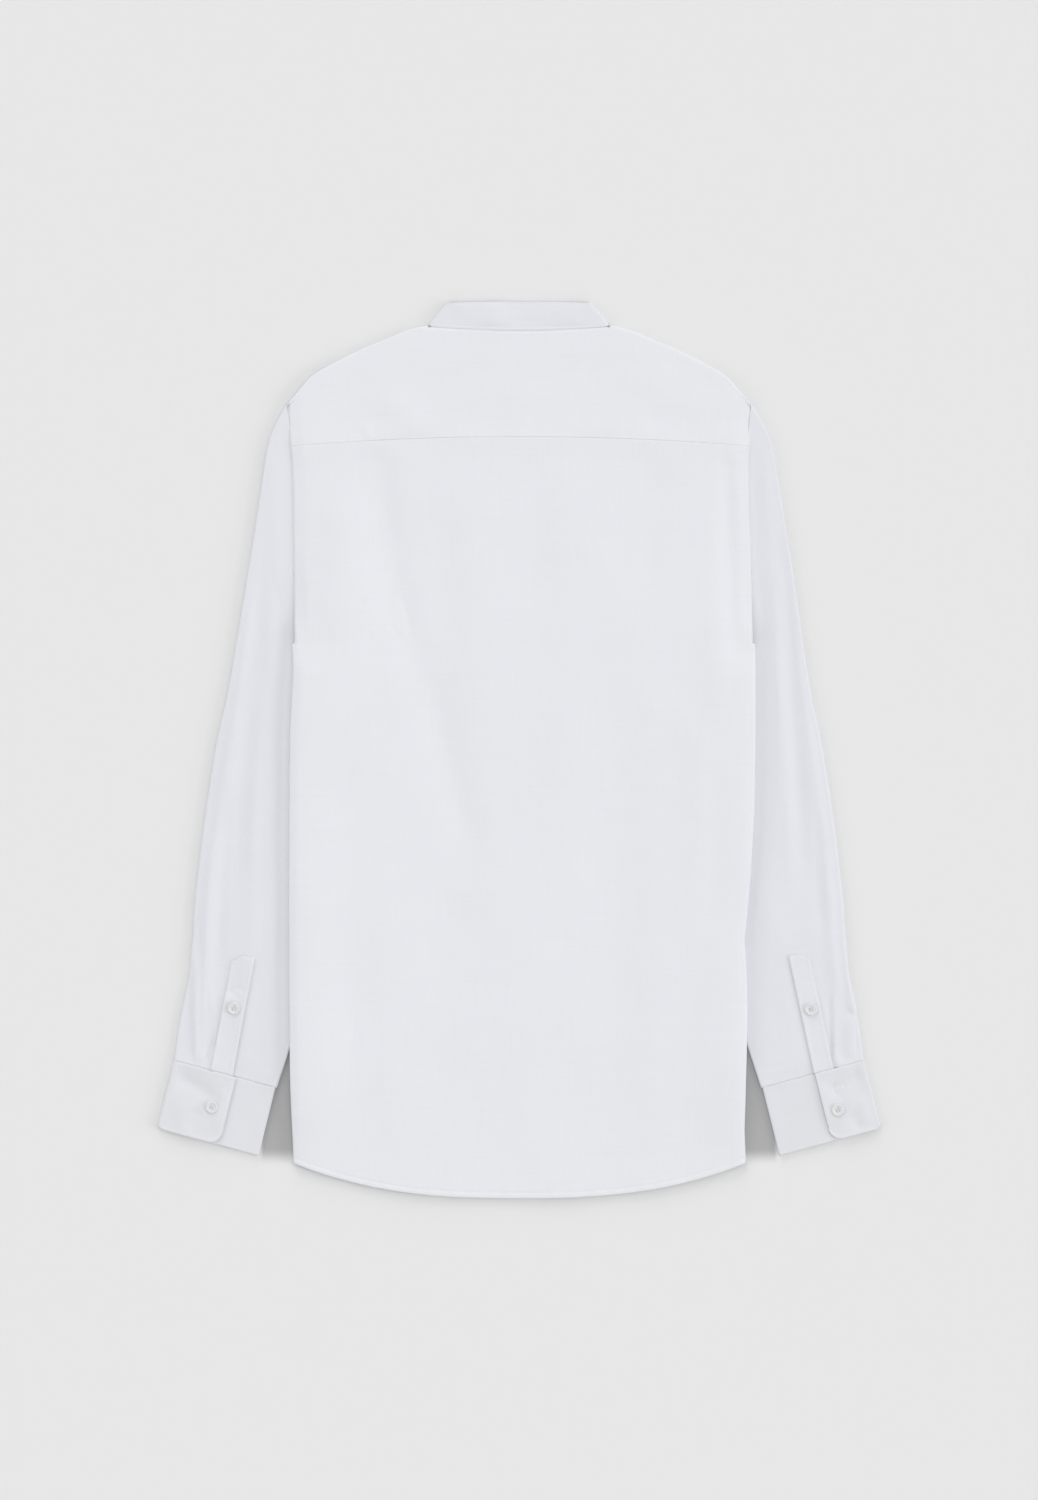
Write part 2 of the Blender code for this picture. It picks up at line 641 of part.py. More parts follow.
def covered_share(down):
    """How much of the sleeve's width lies under the body, at least an eighth."""
    low = 0.125
    high = 0.80
    for _ in range(24):
        middle = (low + high) / 2.0
        if sleeve_line(SLEEVE_HEAD_BACK, down, middle).x < SLEEVE_CLEAR_X:
            low = middle
        else:
            high = middle
    return low


def build_sleeve(name, side, home):
    """Sleeve: a flattened tube, its upper layer pressed flat where the body lies on it."""
    below = [0.0, 0.15, 0.32, 0.5, 0.7, 0.88, 1.0]
    columns = [("covered", s) for s in (0.0, 0.33, 0.66)]
    columns += [("free", s) for s in (0.0, 0.09, 0.19, 0.3, 0.42, 0.54, 0.64, 0.74, 0.82, 0.91,
                                      1.0)]
    columns += [("outer", angle) for angle in (45.0, 90.0, 135.0)]
    columns += [("lower", s) for s in reversed(below)]
    columns += [("inner", angle) for angle in (135.0, 90.0, 45.0)]
    columns += [("covered", 0.0)]
    rows = [0.0, 0.03, 0.07, 0.12, 0.18, 0.25, 0.33, 0.41, 0.49, 0.57, 0.65, 0.72, 0.78, 0.84,
            0.89, 0.94, 1.0]

    def place(column, down):
        part, at = column
        if part in ("covered", "free"):
            edge = covered_share(down)
            share = edge * at if part == "covered" else mix(edge, 1.0, at)
            flat = sleeve_line(SLEEVE_HEAD_BACK, down, share)
            z = sleeve_height(side, flat.x, flat.y)
        elif part == "lower":
            flat = sleeve_line(SLEEVE_HEAD_FRONT, down, at)
            z = SLEEVE_LOW
        else:
            end = 1.0 if part == "outer" else 0.0
            flat = sleeve_line(SLEEVE_HEAD_BACK, down, end)
            before = sleeve_line(SLEEVE_HEAD_BACK, down, abs(end - 0.06))
            high = sleeve_height(side, flat.x, flat.y)
            radius = (high - SLEEVE_LOW) / 2.0
            angle = math.radians(at)
            flat = flat + (flat - before).normalized() * radius * math.sin(angle)
            z = high - radius * (1.0 - math.cos(angle))
        x = side * flat.x
        shift = body_shift(x, flat.y) * ramp(flat.y, -0.160, -0.060)
        return Vector((x + shift, flat.y, z))

    return sheet(name, home, columns, rows, place)


def build_cuff(name, side, home):
    """Cuff: one strip from the rounded over-flap round the wrist to the under-flap."""
    end = FLAP_END.right if side > 0 else FLAP_END.left
    lap_start = end - CUFF_LAP
    corner = [math.sin(math.radians(angle)) for angle in (90.0, 66.0, 42.0, 18.0)]
    columns = [("over", end - CUFF_CORNER * (1.0 - c)) for c in corner]
    columns += [("over", lap_start * s) for s in (1.0, 0.62, CUFF_EASE)]
    columns += [("over", CUFF_SOFT * s) for s in (1.1, 0.7, 0.0)]
    columns += [("outer", angle) for angle in (30.0, 60.0, 90.0, 120.0, 150.0)]
    columns += [("under", CUFF_SOFT * s) for s in (0.0, 0.7, 1.1)]
    columns += [("under", CUFF_WIDTH * s) for s in (0.3, 0.65, 1.0)]
    columns += [("inner", angle) for angle in (135.0, 90.0, 45.0)]
    columns += [("lap", mix(CUFF_WIDTH, end, s)) for s in (0.0, 0.5, 1.0)]
    columns += [("lap", mix(end, lap_start, s)) for s in (0.45, 1.0)]
    outer_turn = (CUFF_EASED - CUFF_LOW) / 2.0
    inner_turn = (CUFF_MIDDLE - CUFF_LOW) / 2.0
    inset = outer_turn + CUFF_WALL / 2.0
    far = CUFF_WIDTH - inner_turn - CUFF_WALL / 2.0

    def place(column, share):
        part, at = column
        length = CUFF_HEIGHT
        if part == "over":
            near_end = at - (end - CUFF_CORNER)
            if near_end > 0.0:
                length -= CUFF_CORNER - math.sqrt(max(CUFF_CORNER ** 2 - near_end ** 2, 0.0))
            z = mix(CUFF_EASED, CUFF_HIGH, ramp(at, lap_start * CUFF_EASE, lap_start))
            across = max(at, inset)
        elif part == "under":
            across = min(max(at, inset), far)
            z = CUFF_LOW
        elif part == "lap":
            across = min(at, far)
            z = CUFF_MIDDLE
        elif part == "outer":
            angle = math.radians(at)
            across = inset - outer_turn * math.sin(angle)
            z = CUFF_EASED - outer_turn * (1.0 - math.cos(angle))
        else:
            angle = math.radians(at)
            across = far + inner_turn * math.sin(angle)
            z = CUFF_MIDDLE - inner_turn * (1.0 - math.cos(angle))
        near_fold = CUFF_SOFT - (across - CUFF_WALL / 2.0)
        if near_fold > 0.0:
            length -= CUFF_SOFT - math.sqrt(max(CUFF_SOFT ** 2 - near_fold ** 2, 0.0))
        return cuff_point(side, across, mix(GAP, length, share), z)

    return sheet(name, home, columns, shares(3), place, wall=CUFF_WALL)


def build_sleeve_placket(name, side, home):
    """Strip on the sleeve's upper layer, from its cut top corner down to the cuff's seam."""
    strip = PLACKET.right if side > 0 else PLACKET.left
    top = Vector((strip.top_x, strip.top_y))
    foot = Vector((strip.foot_x, strip.foot_y))
    along = (foot - top).normalized()
    across = Vector((-along.y, along.x))
    seam_start = Vector((-CUFF_TOP.x, CUFF_TOP.y))
    seam_down = Vector((-CUFF_ACROSS.y, -CUFF_ACROSS.x))

    def place(offset, share):
        start = top + across * offset * strip.width
        if offset > 0.0:
            start += along * strip.corner * offset * 2.0
        length = ((seam_start - start).dot(seam_down) - PLACKET_CLEAR) / along.dot(seam_down)
        flat = start + along * length * share
        z = sleeve_height(side, flat.x, flat.y) + LAYER
        return Vector((side * flat.x, flat.y, z))

    return sheet(name, home, [-0.5, 0.0, 0.5], shares(PLACKET_ROWS), place)


# ---------------------------------------------------------------- buttons

def button_mesh():
    """Profile of a dished button, turned by a Screw modifier on each button object."""
    r = BUTTON_RADIUS
    t = BUTTON_THICK
    profile = [(0.0, 0.7 * t), (0.55 * r, 0.7 * t), (0.75 * r, t), (0.92 * r, t),
               (r, 0.6 * t), (0.8 * r, 0.0), (0.0, 0.0)]
    bm = bmesh.new()
    verts = [bm.verts.new((x, 0.0, z)) for x, z in profile]
    for a, b in zip(verts, verts[1:]):
        bm.edges.new((a, b))
    mesh = bpy.data.meshes.new("button")
    bm.to_mesh(mesh)
    bm.free()
    return mesh


def build_button(name, home, place, face_up):
    """Button with its back at place when it faces up, or its face there when it faces down."""
    thing = new_object(name, button_mesh(), home, PEARL, PEARL_ROUGHNESS)
    turn = thing.modifiers.new("turn", "SCREW")
    turn.steps = BUTTON_SIDES
    turn.render_steps = BUTTON_SIDES
    turn.use_merge_vertices = True
    turn.merge_threshold = 0.00001
    thing.location = place
    if not face_up:
        thing.rotation_euler.x = math.pi
        thing.location.z += BUTTON_THICK
    return thing


def build_buttons(home):
    for number in range(FRONT_BUTTONS):
        y = FIRST_BUTTON_Y - number * BUTTON_PITCH
        build_button(f"front_button_{number + 1}", home, Vector((0.0, y, 0.0)), False)
    build_button("collar_button", home, Vector((0.0, COLLAR_BUTTON_Y, 0.0)), False)
    for label, side in (("left", -1), ("right", 1)):
        spot = getattr(CUFF_BUTTON, label)
        seat = CUFF_HIGH + CUFF_WALL / 2.0 + GAP
        build_button(f"cuff_button_{label}", home, cuff_point(side, spot.x, spot.y, seat), True)
        spot = getattr(SLEEVE_BUTTON, label)
        seat = sleeve_height(side, spot.x, spot.y) + LAYER + WALL / 2.0 + GAP
        build_button(f"sleeve_button_{label}", home, Vector((side * spot.x, spot.y, seat)), True)


# ---------------------------------------------------------------- the whole shirt

def main():
    for old in list(bpy.data.objects):
        bpy.data.objects.remove(old)
    home = bpy.data.collections.new("mandarin_collar_shirt")
    bpy.context.scene.collection.children.link(home)
    build_back(home)
    build_yoke(home)
    build_front("front_left", -1, home)
    build_front("front_right", 1, home)
    build_collar(home)
    for label, side in (("left", -1), ("right", 1)):
        build_sleeve(f"sleeve_{label}", side, home)
        build_cuff(f"cuff_{label}", side, home)
        build_sleeve_placket(f"sleeve_placket_{label}", side, home)
    build_buttons(home)


main()
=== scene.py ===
"""Mandarin collar shirt laid flat with its back up: cloth, stitching, buttons and a studio.

Metres, +Z up, +Y to the collar. Each cut piece is a thin sheet with its own creases and
seams, laid on the same middle surface as its solid. Stitches are joined meshes per piece.
"""

import json
import logging
import math
from dataclasses import dataclass, field
from enum import Enum
from typing import Callable, Iterable, NamedTuple, Optional, Sequence

import bmesh
import bpy
from mathutils import Matrix, Vector, noise

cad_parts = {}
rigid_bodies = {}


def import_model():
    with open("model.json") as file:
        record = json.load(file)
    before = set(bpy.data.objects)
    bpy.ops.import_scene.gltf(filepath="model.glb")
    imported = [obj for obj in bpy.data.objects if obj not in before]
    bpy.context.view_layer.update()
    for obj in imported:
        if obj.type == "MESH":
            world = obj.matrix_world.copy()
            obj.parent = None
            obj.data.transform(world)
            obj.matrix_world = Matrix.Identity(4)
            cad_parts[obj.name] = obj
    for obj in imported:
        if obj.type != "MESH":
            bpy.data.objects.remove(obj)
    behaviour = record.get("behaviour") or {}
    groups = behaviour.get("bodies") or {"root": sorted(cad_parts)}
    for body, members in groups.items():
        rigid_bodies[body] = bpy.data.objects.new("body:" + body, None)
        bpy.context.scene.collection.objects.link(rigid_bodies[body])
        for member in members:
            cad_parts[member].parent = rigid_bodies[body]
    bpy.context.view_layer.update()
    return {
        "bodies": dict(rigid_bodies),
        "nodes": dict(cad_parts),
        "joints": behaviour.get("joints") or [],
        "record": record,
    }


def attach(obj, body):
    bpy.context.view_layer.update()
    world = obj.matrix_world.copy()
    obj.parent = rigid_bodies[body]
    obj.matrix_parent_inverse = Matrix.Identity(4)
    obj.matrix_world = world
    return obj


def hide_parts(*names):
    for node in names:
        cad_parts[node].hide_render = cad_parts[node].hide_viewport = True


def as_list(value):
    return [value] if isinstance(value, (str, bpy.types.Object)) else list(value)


log = logging.getLogger("shirt")


class Side(Enum):
    """Which half of the shirt, by the sign of x."""

    LEFT = -1
    RIGHT = 1

    @property
    def label(self) -> str:
        """Name used in the names of pieces."""
        return self.name.lower()


class Edge(NamedTuple):
    """Point of an outline: height up the shirt and distance from the centre line."""

    y: float
    x: float


class Head(NamedTuple):
    """Point of a sleeve's edge at the armhole."""

    share: float
    x: float
    y: float


@dataclass(frozen=True)
class Crease:
    """Soft ridge or trough between two points of a piece, bowed sideways in the middle."""

    top_x: float
    top_y: float
    foot_x: float
    foot_y: float
    height: float
    reach: float
    bow: float = 0.0
    steep: float = 1.0

    def at(self, x: float, y: float) -> float:
        """Height that the crease adds at a point.

        Args:
            x: Place across the shirt.
            y: Place up the shirt.

        Returns:
            Height to add to the cloth.
        """
        run_x = self.foot_x - self.top_x
        run_y = self.foot_y - self.top_y
        length = math.hypot(run_x, run_y)
        away_x = x - self.top_x
        away_y = y - self.top_y
        share = (away_x * run_x + away_y * run_y) / (length * length)
        if share < -0.1 or share > 1.1:
            return 0.0
        off = (away_x * run_y - away_y * run_x) / length
        off -= self.bow * (1.0 - (2.0 * share - 1.0) ** 2)
        reach = self.reach * (self.steep if off > 0.0 else 1.0)
        if abs(off) > 3.0 * reach:
            return 0.0
        fade = ramp(share, -0.08, 0.22) * ramp(share, 1.08, 0.74)
        return self.height * fade * math.exp(-(off / reach) ** 2)


@dataclass(frozen=True)
class Pleat:
    """Pressed pleat: a sharp edge line with the raised cloth on its inner side."""

    top_x: float
    top_y: float
    foot_x: float
    foot_y: float
    height: float
    width: float
    fade: float = 0.35

    def at(self, x: float, y: float) -> float:
        """Height that the pleat adds at a point; x is the distance from the centre line.

        Args:
            x: Place across the shirt.
            y: Place up the shirt.

        Returns:
            Height to add to the cloth.
        """
        share = (self.top_y - y) / (self.top_y - self.foot_y)
        if share < 0.0 or share > 1.25:
            return 0.0
        inside = self.top_x + (self.foot_x - self.top_x) * share - x
        if inside < -0.0006 or inside > self.width:
            return 0.0
        rise = ramp(inside, -0.0006, 0.0008) * ramp(inside, self.width, 0.35 * self.width)
        return self.height * rise * ramp(share, 0.0, self.fade)


# ---------------------------------------------------------------- curves and ramps

def mix(a: float, b: float, share: float) -> float:
    """Value between a and b."""
    return a + (b - a) * share


def ramp(value: float, start: float, end: float) -> float:
    """Smooth rise from 0 at start to 1 at end, either way round."""
    share = min(max((value - start) / (end - start), 0.0), 1.0)
    return share * share * (3.0 - 2.0 * share)


def smooth(keys: Sequence[float], values: Sequence[float], at: float) -> float:
    """Smooth curve through values.

    Args:
        keys: Rising or falling positions.
        values: The value at each of them.
        at: Where the curve is read.

    Returns:
        The value there, held level beyond both ends.
    """
    if keys[0] > keys[-1]:
        keys = keys[::-1]
        values = values[::-1]
    if at <= keys[0]:
        return values[0]
    if at >= keys[-1]:
        return values[-1]
    last = len(keys) - 1
    i = max(k for k in range(last) if keys[k] <= at)
    slopes = []
    for k in (i, i + 1):
        before = max(k - 1, 0)
        after = min(k + 1, last)
        slopes.append((values[after] - values[before]) / (keys[after] - keys[before]))
    span = keys[i + 1] - keys[i]
    t = (at - keys[i]) / span
    start = values[i] * (2 * t**3 - 3 * t**2 + 1) + slopes[0] * span * (t**3 - 2 * t**2 + t)
    end = values[i + 1] * (3 * t**2 - 2 * t**3) + slopes[1] * span * (t**3 - t**2)
    return start + end


def x_at(table: Sequence[Edge], y: float) -> float:
    """Distance from the centre line of an outline at height y."""
    return smooth([row.y for row in table], [row.x for row in table], y)


def y_at(table: Sequence[Edge], x: float) -> float:
    """Height up the shirt of an outline at distance x."""
    return smooth([row.x for row in table], [row.y for row in table], x)


def relief_of(folds: Iterable[Crease | Pleat], x: float, y: float) -> float:
    """Height of all creases or pleats together at a place."""
    return sum(fold.at(x, y) for fold in folds)


def mirrored(half: list[float]) -> list[float]:
    """Columns of both halves from those of the right one, which starts at the middle."""
    return [-x for x in reversed(half[1:])] + half


def steps(start: float, end: float, count: int) -> list[float]:
    """Even values from start to end, both included."""
    return [mix(start, end, k / count) for k in range(count + 1)]


def rumple(x: float, y: float, size: float, height: float, seed: float) -> float:
    """Small even unrest of laid cloth.

    Args:
        x: Place across the piece.
        y: Place along the piece.
        size: Size of the waves.
        height: Their greatest height.
        seed: Shifts the pattern so that pieces differ.

    Returns:
        The height to add.
    """
    return height * noise.noise(Vector((x / size + seed, y / size, seed)))


# ---------------------------------------------------------------- the lay and the cut

@dataclass(frozen=True)
class Lay:
    """How the folded shirt lies: the heights of its layers at each place."""

    wall: float = 0.001
    gap: float = 0.0003
    button_thick: float = 0.0015
    back_centre: float = 0.0054
    back_dip: float = 0.0007
    hem_settle: float = 0.0018
    sleeve_low: float = 0.0005
    sleeve_pressed: float = 0.0018
    sleeve_free: float = 0.0037
    sleeve_clear_x: float = 0.2025
    sleeve_clear: float = 0.019
    sleeve_cuff: float = 0.0030
    turned_x: tuple[float, float] = (0.058, 0.117)
    turned_y: tuple[float, float] = (0.190, 0.101)
    sleeve_under_y: tuple[float, float] = (-0.365, -0.262)
    head_under_x: tuple[float, float] = (0.156, 0.176)
    sleeve_head_y: tuple[float, float] = (0.112, 0.165)
    sleeve_cuff_y: tuple[float, float] = (-0.150, -0.200)
    last_button: tuple[float, float] = (-0.300, -0.225)
    left_lap_x: tuple[float, float] = (-0.041, -0.0175)
    right_lap_x: tuple[float, float] = (0.043, 0.0185)
    back_dip_x: tuple[float, float] = (0.026, 0.075)
    back_rise_x: tuple[float, float] = (0.135, 0.182)
    shift_full_x: tuple[float, float] = (0.0, 0.196)
    shift_fade_x: tuple[float, float] = (0.262, 0.205)
    left_shift: tuple[Edge, ...] = (
        Edge(0.30, 0.000), Edge(0.10, -0.001), Edge(0.00, 0.003), Edge(-0.28, 0.003),
        Edge(-0.36, 0.000))
    right_shift: tuple[Edge, ...] = (
        Edge(0.30, 0.000), Edge(0.24, -0.003), Edge(0.11, -0.009), Edge(-0.03, -0.009),
        Edge(-0.10, -0.006), Edge(-0.20, 0.002), Edge(-0.30, 0.001), Edge(-0.36, -0.001))

    @property
    def layer(self) -> float:
        """Rise from one sheet to the next one above it."""
        return self.wall + self.gap

    def margin(self, x: float, y: float) -> float:
        """1 where the body's side is turned under, 0 in the middle and at the armholes."""
        return ramp(abs(x), *self.turned_x) * ramp(y, *self.turned_y)

    def over_sleeve(self, y: float) -> float:
        """1 down to where the sleeves come out from under the body."""
        return ramp(y, *self.sleeve_under_y)

    def over_armhole(self, x: float, y: float) -> float:
        """1 where the front lies on the lower edge of the sleeve head."""
        return ramp(abs(x), *self.head_under_x) * (1.0 - self.margin(x, y))

    def buttoned(self, y: float) -> float:
        """1 down to the last front button, then fading to the hem."""
        return ramp(y, *self.last_button)

    def front(self, x: float, y: float) -> float:
        """Height of a front without its rise over the buttons."""
        layers = 2.0 * self.margin(x, y) * (1.0 + self.over_sleeve(y)) + self.over_armhole(x, y)
        return self.wall / 2.0 + self.layer * layers

    def lapped_front(self, side: Side, x: float, y: float) -> float:
        """Height of a front with its rise at the centre: the right one lies on the left one.

        Args:
            side: Which front.
            x: Place across the shirt.
            y: Place along the shirt.

        Returns:
            The height of its middle surface.
        """
        lift = (self.button_thick + self.gap) * self.buttoned(y)
        if side is Side.RIGHT:
            return self.front(x, y) + (lift + self.layer) * ramp(x, *self.right_lap_x)
        return self.front(x, y) + lift * ramp(x, *self.left_lap_x)

    def back(self, x: float, y: float) -> float:
        """Height of the back panel and the yoke where they lie on top.

        Args:
            x: Place across the shirt.
            y: Place along the shirt.

        Returns:
            The height of their middle surface, without creases.
        """
        dip = ramp(abs(x), *self.back_dip_x)
        rise = ramp(abs(x), *self.back_rise_x)
        centre = self.back_centre - self.back_dip * dip + (self.back_dip - 0.0003) * rise
        centre -= self.hem_settle * (1.0 - self.buttoned(y)) * (1.0 - 0.5 * dip)
        sides = self.wall / 2.0 + self.layer * (3.0 + 2.0 * self.over_sleeve(y))
        return mix(centre, sides, self.margin(x, y))

    def sleeve(self, x: float, y: float) -> float:
        """Height of a sleeve's upper layer; x is the distance from the centre line."""
        clear = ramp(x, self.sleeve_clear_x, self.sleeve_clear_x + self.sleeve_clear)
        free = self.sleeve_free - self.sleeve_pressed
        height = self.sleeve_pressed + free * max(ramp(y, *self.sleeve_head_y), clear)
        lower = (self.sleeve_free - self.sleeve_cuff) * clear
        return height - lower * ramp(y, *self.sleeve_cuff_y)

    def shift(self, x: float, y: float) -> float:
        """Sideways shift of a body point: the two sides aren't quite even."""
        table = self.right_shift if x > 0.0 else self.left_shift
        share = ramp(abs(x), *self.shift_full_x) * ramp(abs(x), *self.shift_fade_x)
        return math.copysign(x_at(table, y) * share, x)

    def spot(self, x: float, y: float, z: float) -> Vector:
        """Point of the body with its sideways shift."""
        return Vector((x + self.shift(x, y), y, z))


@dataclass(frozen=True)
class Cut:
    """Seam lines and outlines of the shirt as it lies."""

    fold_x: float = 0.196
    turn_under: float = 0.078
    underarm_y: float = 0.062
    notch_y: float = 0.094
    back_hem_y: float = -0.3942
    front_hem_y: float = -0.3920
    hem_rise: float = 0.031
    hem_rise_x: float = 0.198
    hem_power: float = 2.6
    yoke_seam_y: float = 0.2752
    yoke_seam_drop: float = 0.0075
    yoke_half: float = 0.2035
    shoulder_neck_x: float = 0.0798
    forward_seam_y: float = 0.3418
    forward_slope: float = 0.38
    forward_curve: float = 0.9
    neck_corner: float = 0.0704
    neck_x: float = 0.0772
    neck_y: float = 0.3724
    back_neck_y: float = 0.3687
    front_neck_drop: float = 0.0724
    lap_half: float = 0.017
    band_end: float = 0.01275
    cuff_x: float = 0.3036
    cuff_y: float = -0.2728
    cuff_run: tuple[float, float] = (0.9654, -0.2607)
    cuff_fall: tuple[float, float] = (-0.2430, -0.9700)
    first_button_y: float = 0.235
    button_pitch: float = 0.088
    front_buttons: int = 6
    collar_button_y: float = 0.314
    shoulder: tuple[Edge, ...] = (
        Edge(0.3745, 0.0788), Edge(0.3705, 0.0964), Edge(0.3617, 0.1175),
        Edge(0.3529, 0.1386), Edge(0.3423, 0.1597), Edge(0.3309, 0.1808),
        Edge(0.3195, 0.1914), Edge(0.3050, 0.2035))
    back_armhole: tuple[Edge, ...] = (
        Edge(0.3050, 0.2035), Edge(0.2730, 0.2015), Edge(0.2400, 0.1990),
        Edge(0.1850, 0.1975), Edge(0.0940, 0.1960))
    front_armhole: tuple[Edge, ...] = (
        Edge(0.3050, 0.2035), Edge(0.2850, 0.1980), Edge(0.2620, 0.1910),
        Edge(0.2300, 0.1870), Edge(0.1800, 0.1840), Edge(0.1350, 0.1840),
        Edge(0.1120, 0.1870), Edge(0.0940, 0.1960))

    def hem(self, centre_y: float, x: float) -> float:
        """Curved hem; x runs on past the fold line on the turned-under side."""
        return centre_y + self.hem_rise * (abs(x) / self.hem_rise_x) ** self.hem_power

    def yoke_seam(self, x: float) -> float:
        """Height of the yoke seam at distance x."""
        return self.yoke_seam_y - self.yoke_seam_drop * (x / 0.194) ** 2

    def seam_end_x(self) -> float:
        """Distance at which the yoke seam meets the back armhole."""
        return x_at(self.back_armhole, self.yoke_seam_y - self.yoke_seam_drop)

    def to_edge(self, x: float, half: float, edge: float) -> float:
        """Place across a panel of even half-width so that it ends at edge."""
        return x * (1.0 + (edge / half - 1.0) * (abs(x) / half) ** 4)

    def shoulder_fold(self, x: float) -> float:
        """Centre of the bend of the shoulder fold."""
        return y_at(self.shoulder, abs(x)) - 0.0030

    def forward_seam(self, x: float) -> float:
        """Seam of the yoke to a front, from the neck out to the armhole."""
        out = abs(x) - self.neck_corner
        return self.forward_seam_y - self.forward_slope * out - self.forward_curve * out * out

    def neck_at(self, y: float) -> float:
        """Front neck seam: distance from the centre line at height y."""
        share = min(max((self.neck_y - y) / self.front_neck_drop, 0.0), 1.0)
        return self.neck_x * math.sqrt(1.0 - share * share)

    def front_neck(self, x: float, gap: float) -> float:
        """Neck edge of the fronts, just outside the band."""
        share = min(abs(x) / (self.neck_x + gap), 1.0)
        return self.neck_y - (self.front_neck_drop + gap) * math.sqrt(1.0 - share * share)

    def below_cuff_seam(self, x: float, y: float) -> float:
        """Distance below the cuff's top seam; x is the distance from the centre line."""
        run_x, run_y = self.cuff_run
        return (x - self.cuff_x) * -run_y - (y - self.cuff_y) * run_x

    def along_cuff(self, x: float, y: float) -> float:
        """Distance along the cuff's top seam from its outer end."""
        run_x, run_y = self.cuff_run
        return (self.cuff_x - x) * run_x + (y - self.cuff_y) * run_y

    def armhole_drop(self, w: float) -> float:
        """Armhole edge on the turned-under side, from the notch to the underarm."""
        share = min(max((abs(w) - self.fold_x) / self.turn_under, 0.0), 1.0)
        return mix(self.notch_y, self.underarm_y, share)


# ---------------------------------------------------------------- finishes

class Nodes:
    """Node tree of a new material, with short ways to add and join nodes."""

    def __init__(self, name: str) -> None:
        """Make the material, with its one shader."""
        self.material = bpy.data.materials.new(name)
        self.material.use_nodes = True
        self.tree = self.material.node_tree
        self.shader = self.tree.nodes["Principled BSDF"]

    def fill(self, node: bpy.types.Node, inputs: dict[str, object]) -> None:
        """Set inputs of a node by name to values, or join them to sockets."""
        for slot, value in inputs.items():
            if isinstance(value, bpy.types.NodeSocket):
                self.tree.links.new(value, node.inputs[slot])
            else:
                node.inputs[slot].default_value = value

    def add(self, kind: str, inputs: dict[str, object], **settings: object) -> bpy.types.Node:
        """Add a node.

        Args:
            kind: Its type, without the words that all shader nodes share.
            inputs: Values or sockets by the names of its inputs.
            **settings: Its own settings, which are made before the inputs.

        Returns:
            The node.
        """
        node = self.tree.nodes.new(f"ShaderNode{kind}")
        for name, value in settings.items():
            setattr(node, name, value)
        self.fill(node, inputs)
        return node

    def noise(self, **inputs: object) -> bpy.types.NodeSocket:
        """Noise, from its inputs in capitalised words."""
        named = {name.capitalize(): value for name, value in inputs.items()}
        return self.add("TexNoise", named).outputs["Fac"]

    def math(self, operation: str, *values: object) -> bpy.types.NodeSocket:
        """Arithmetic on sockets or numbers.

        Args:
            operation: Its name.
            *values: Sockets or numbers, in order.

        Returns:
            Socket of the result.
        """
        node = self.add("Math", {}, operation=operation)
        for slot, value in zip(node.inputs, values):
            if isinstance(value, bpy.types.NodeSocket):
                self.tree.links.new(value, slot)
            else:
                slot.default_value = value
        return node.outputs["Value"]

    def blend(self, share: bpy.types.NodeSocket, first: Sequence[float],
              second: Sequence[float]) -> bpy.types.NodeSocket:
        """Mix of two colours."""
        inputs = {"A": (*first, 1.0), "B": (*second, 1.0), "Factor": share}
        return self.add("Mix", inputs, data_type="RGBA").outputs["Result"]

    def bump(self, height: bpy.types.NodeSocket, strength: float, distance: float
             ) -> bpy.types.NodeSocket:
        """Fine relief from a height."""
        inputs = {"Strength": strength, "Distance": distance, "Height": height}
        return self.add("Bump", inputs).outputs["Normal"]

    def place(self) -> bpy.types.NodeSocket:
        """Place on the object in its own frame."""
        return self.add("TexCoord", {}).outputs["Object"]

    def finish(self, inputs: dict[str, object]) -> bpy.types.Material:
        """Fill the shader's inputs and hand over the material."""
        self.fill(self.shader, inputs)
        return self.material


@dataclass(frozen=True)
class ClothFinish:
    """Slubby plain weave: pale yarns of uneven thickness, with a soft matt face."""

    name: str
    colour: tuple[float, float, float]
    shade: float = 0.972
    weave: float = 0.00002
    roughness: float = 0.88
    warp_scale: tuple[float, float] = (420.0, 26.0)
    weft_scale: tuple[float, float] = (20.0, 380.0)
    cloud_scale: float = 22.0
    cloud_share: float = 0.55
    tone_range: tuple[float, float] = (0.85, 1.70)

    def make(self) -> bpy.types.Material:
        """Node material that reads the piece's own cloth coordinates.

        Returns:
            The new material.
        """
        nodes = Nodes(self.name)
        uv = nodes.add("UVMap", {}, uv_map="cloth").outputs["UV"]
        warp = self._yarns(nodes, uv, self.warp_scale)
        weft = self._yarns(nodes, uv, self.weft_scale)
        both = nodes.math("ADD", warp, weft)
        cloudy = nodes.noise(scale=self.cloud_scale, detail=3.0, vector=uv)
        mottle = nodes.math("MULTIPLY_ADD", cloudy, self.cloud_share, both)
        low, high = self.tone_range
        tone = nodes.add("MapRange", {"From Min": low, "From Max": high, "Value": mottle})
        dark = tuple(c * self.shade for c in self.colour)
        return nodes.finish({
            "Base Color": nodes.blend(tone.outputs["Result"], dark, self.colour),
            "Normal": nodes.bump(both, 1.0, self.weave),
            "Roughness": self.roughness,
            "Specular IOR Level": 0.25,
            "Sheen Weight": 0.10,
            "Sheen Roughness": 0.5,
        })

    def _yarns(self, nodes: Nodes, uv: bpy.types.NodeSocket, scale: tuple[float, float]
               ) -> bpy.types.NodeSocket:
        """Streaks along one yarn direction, from the two scales across and along it."""
        turn = nodes.add("Mapping", {"Scale": (*scale, 1.0), "Vector": uv})
        return nodes.noise(scale=1.0, detail=3.0, roughness=0.55, vector=turn.outputs["Vector"])


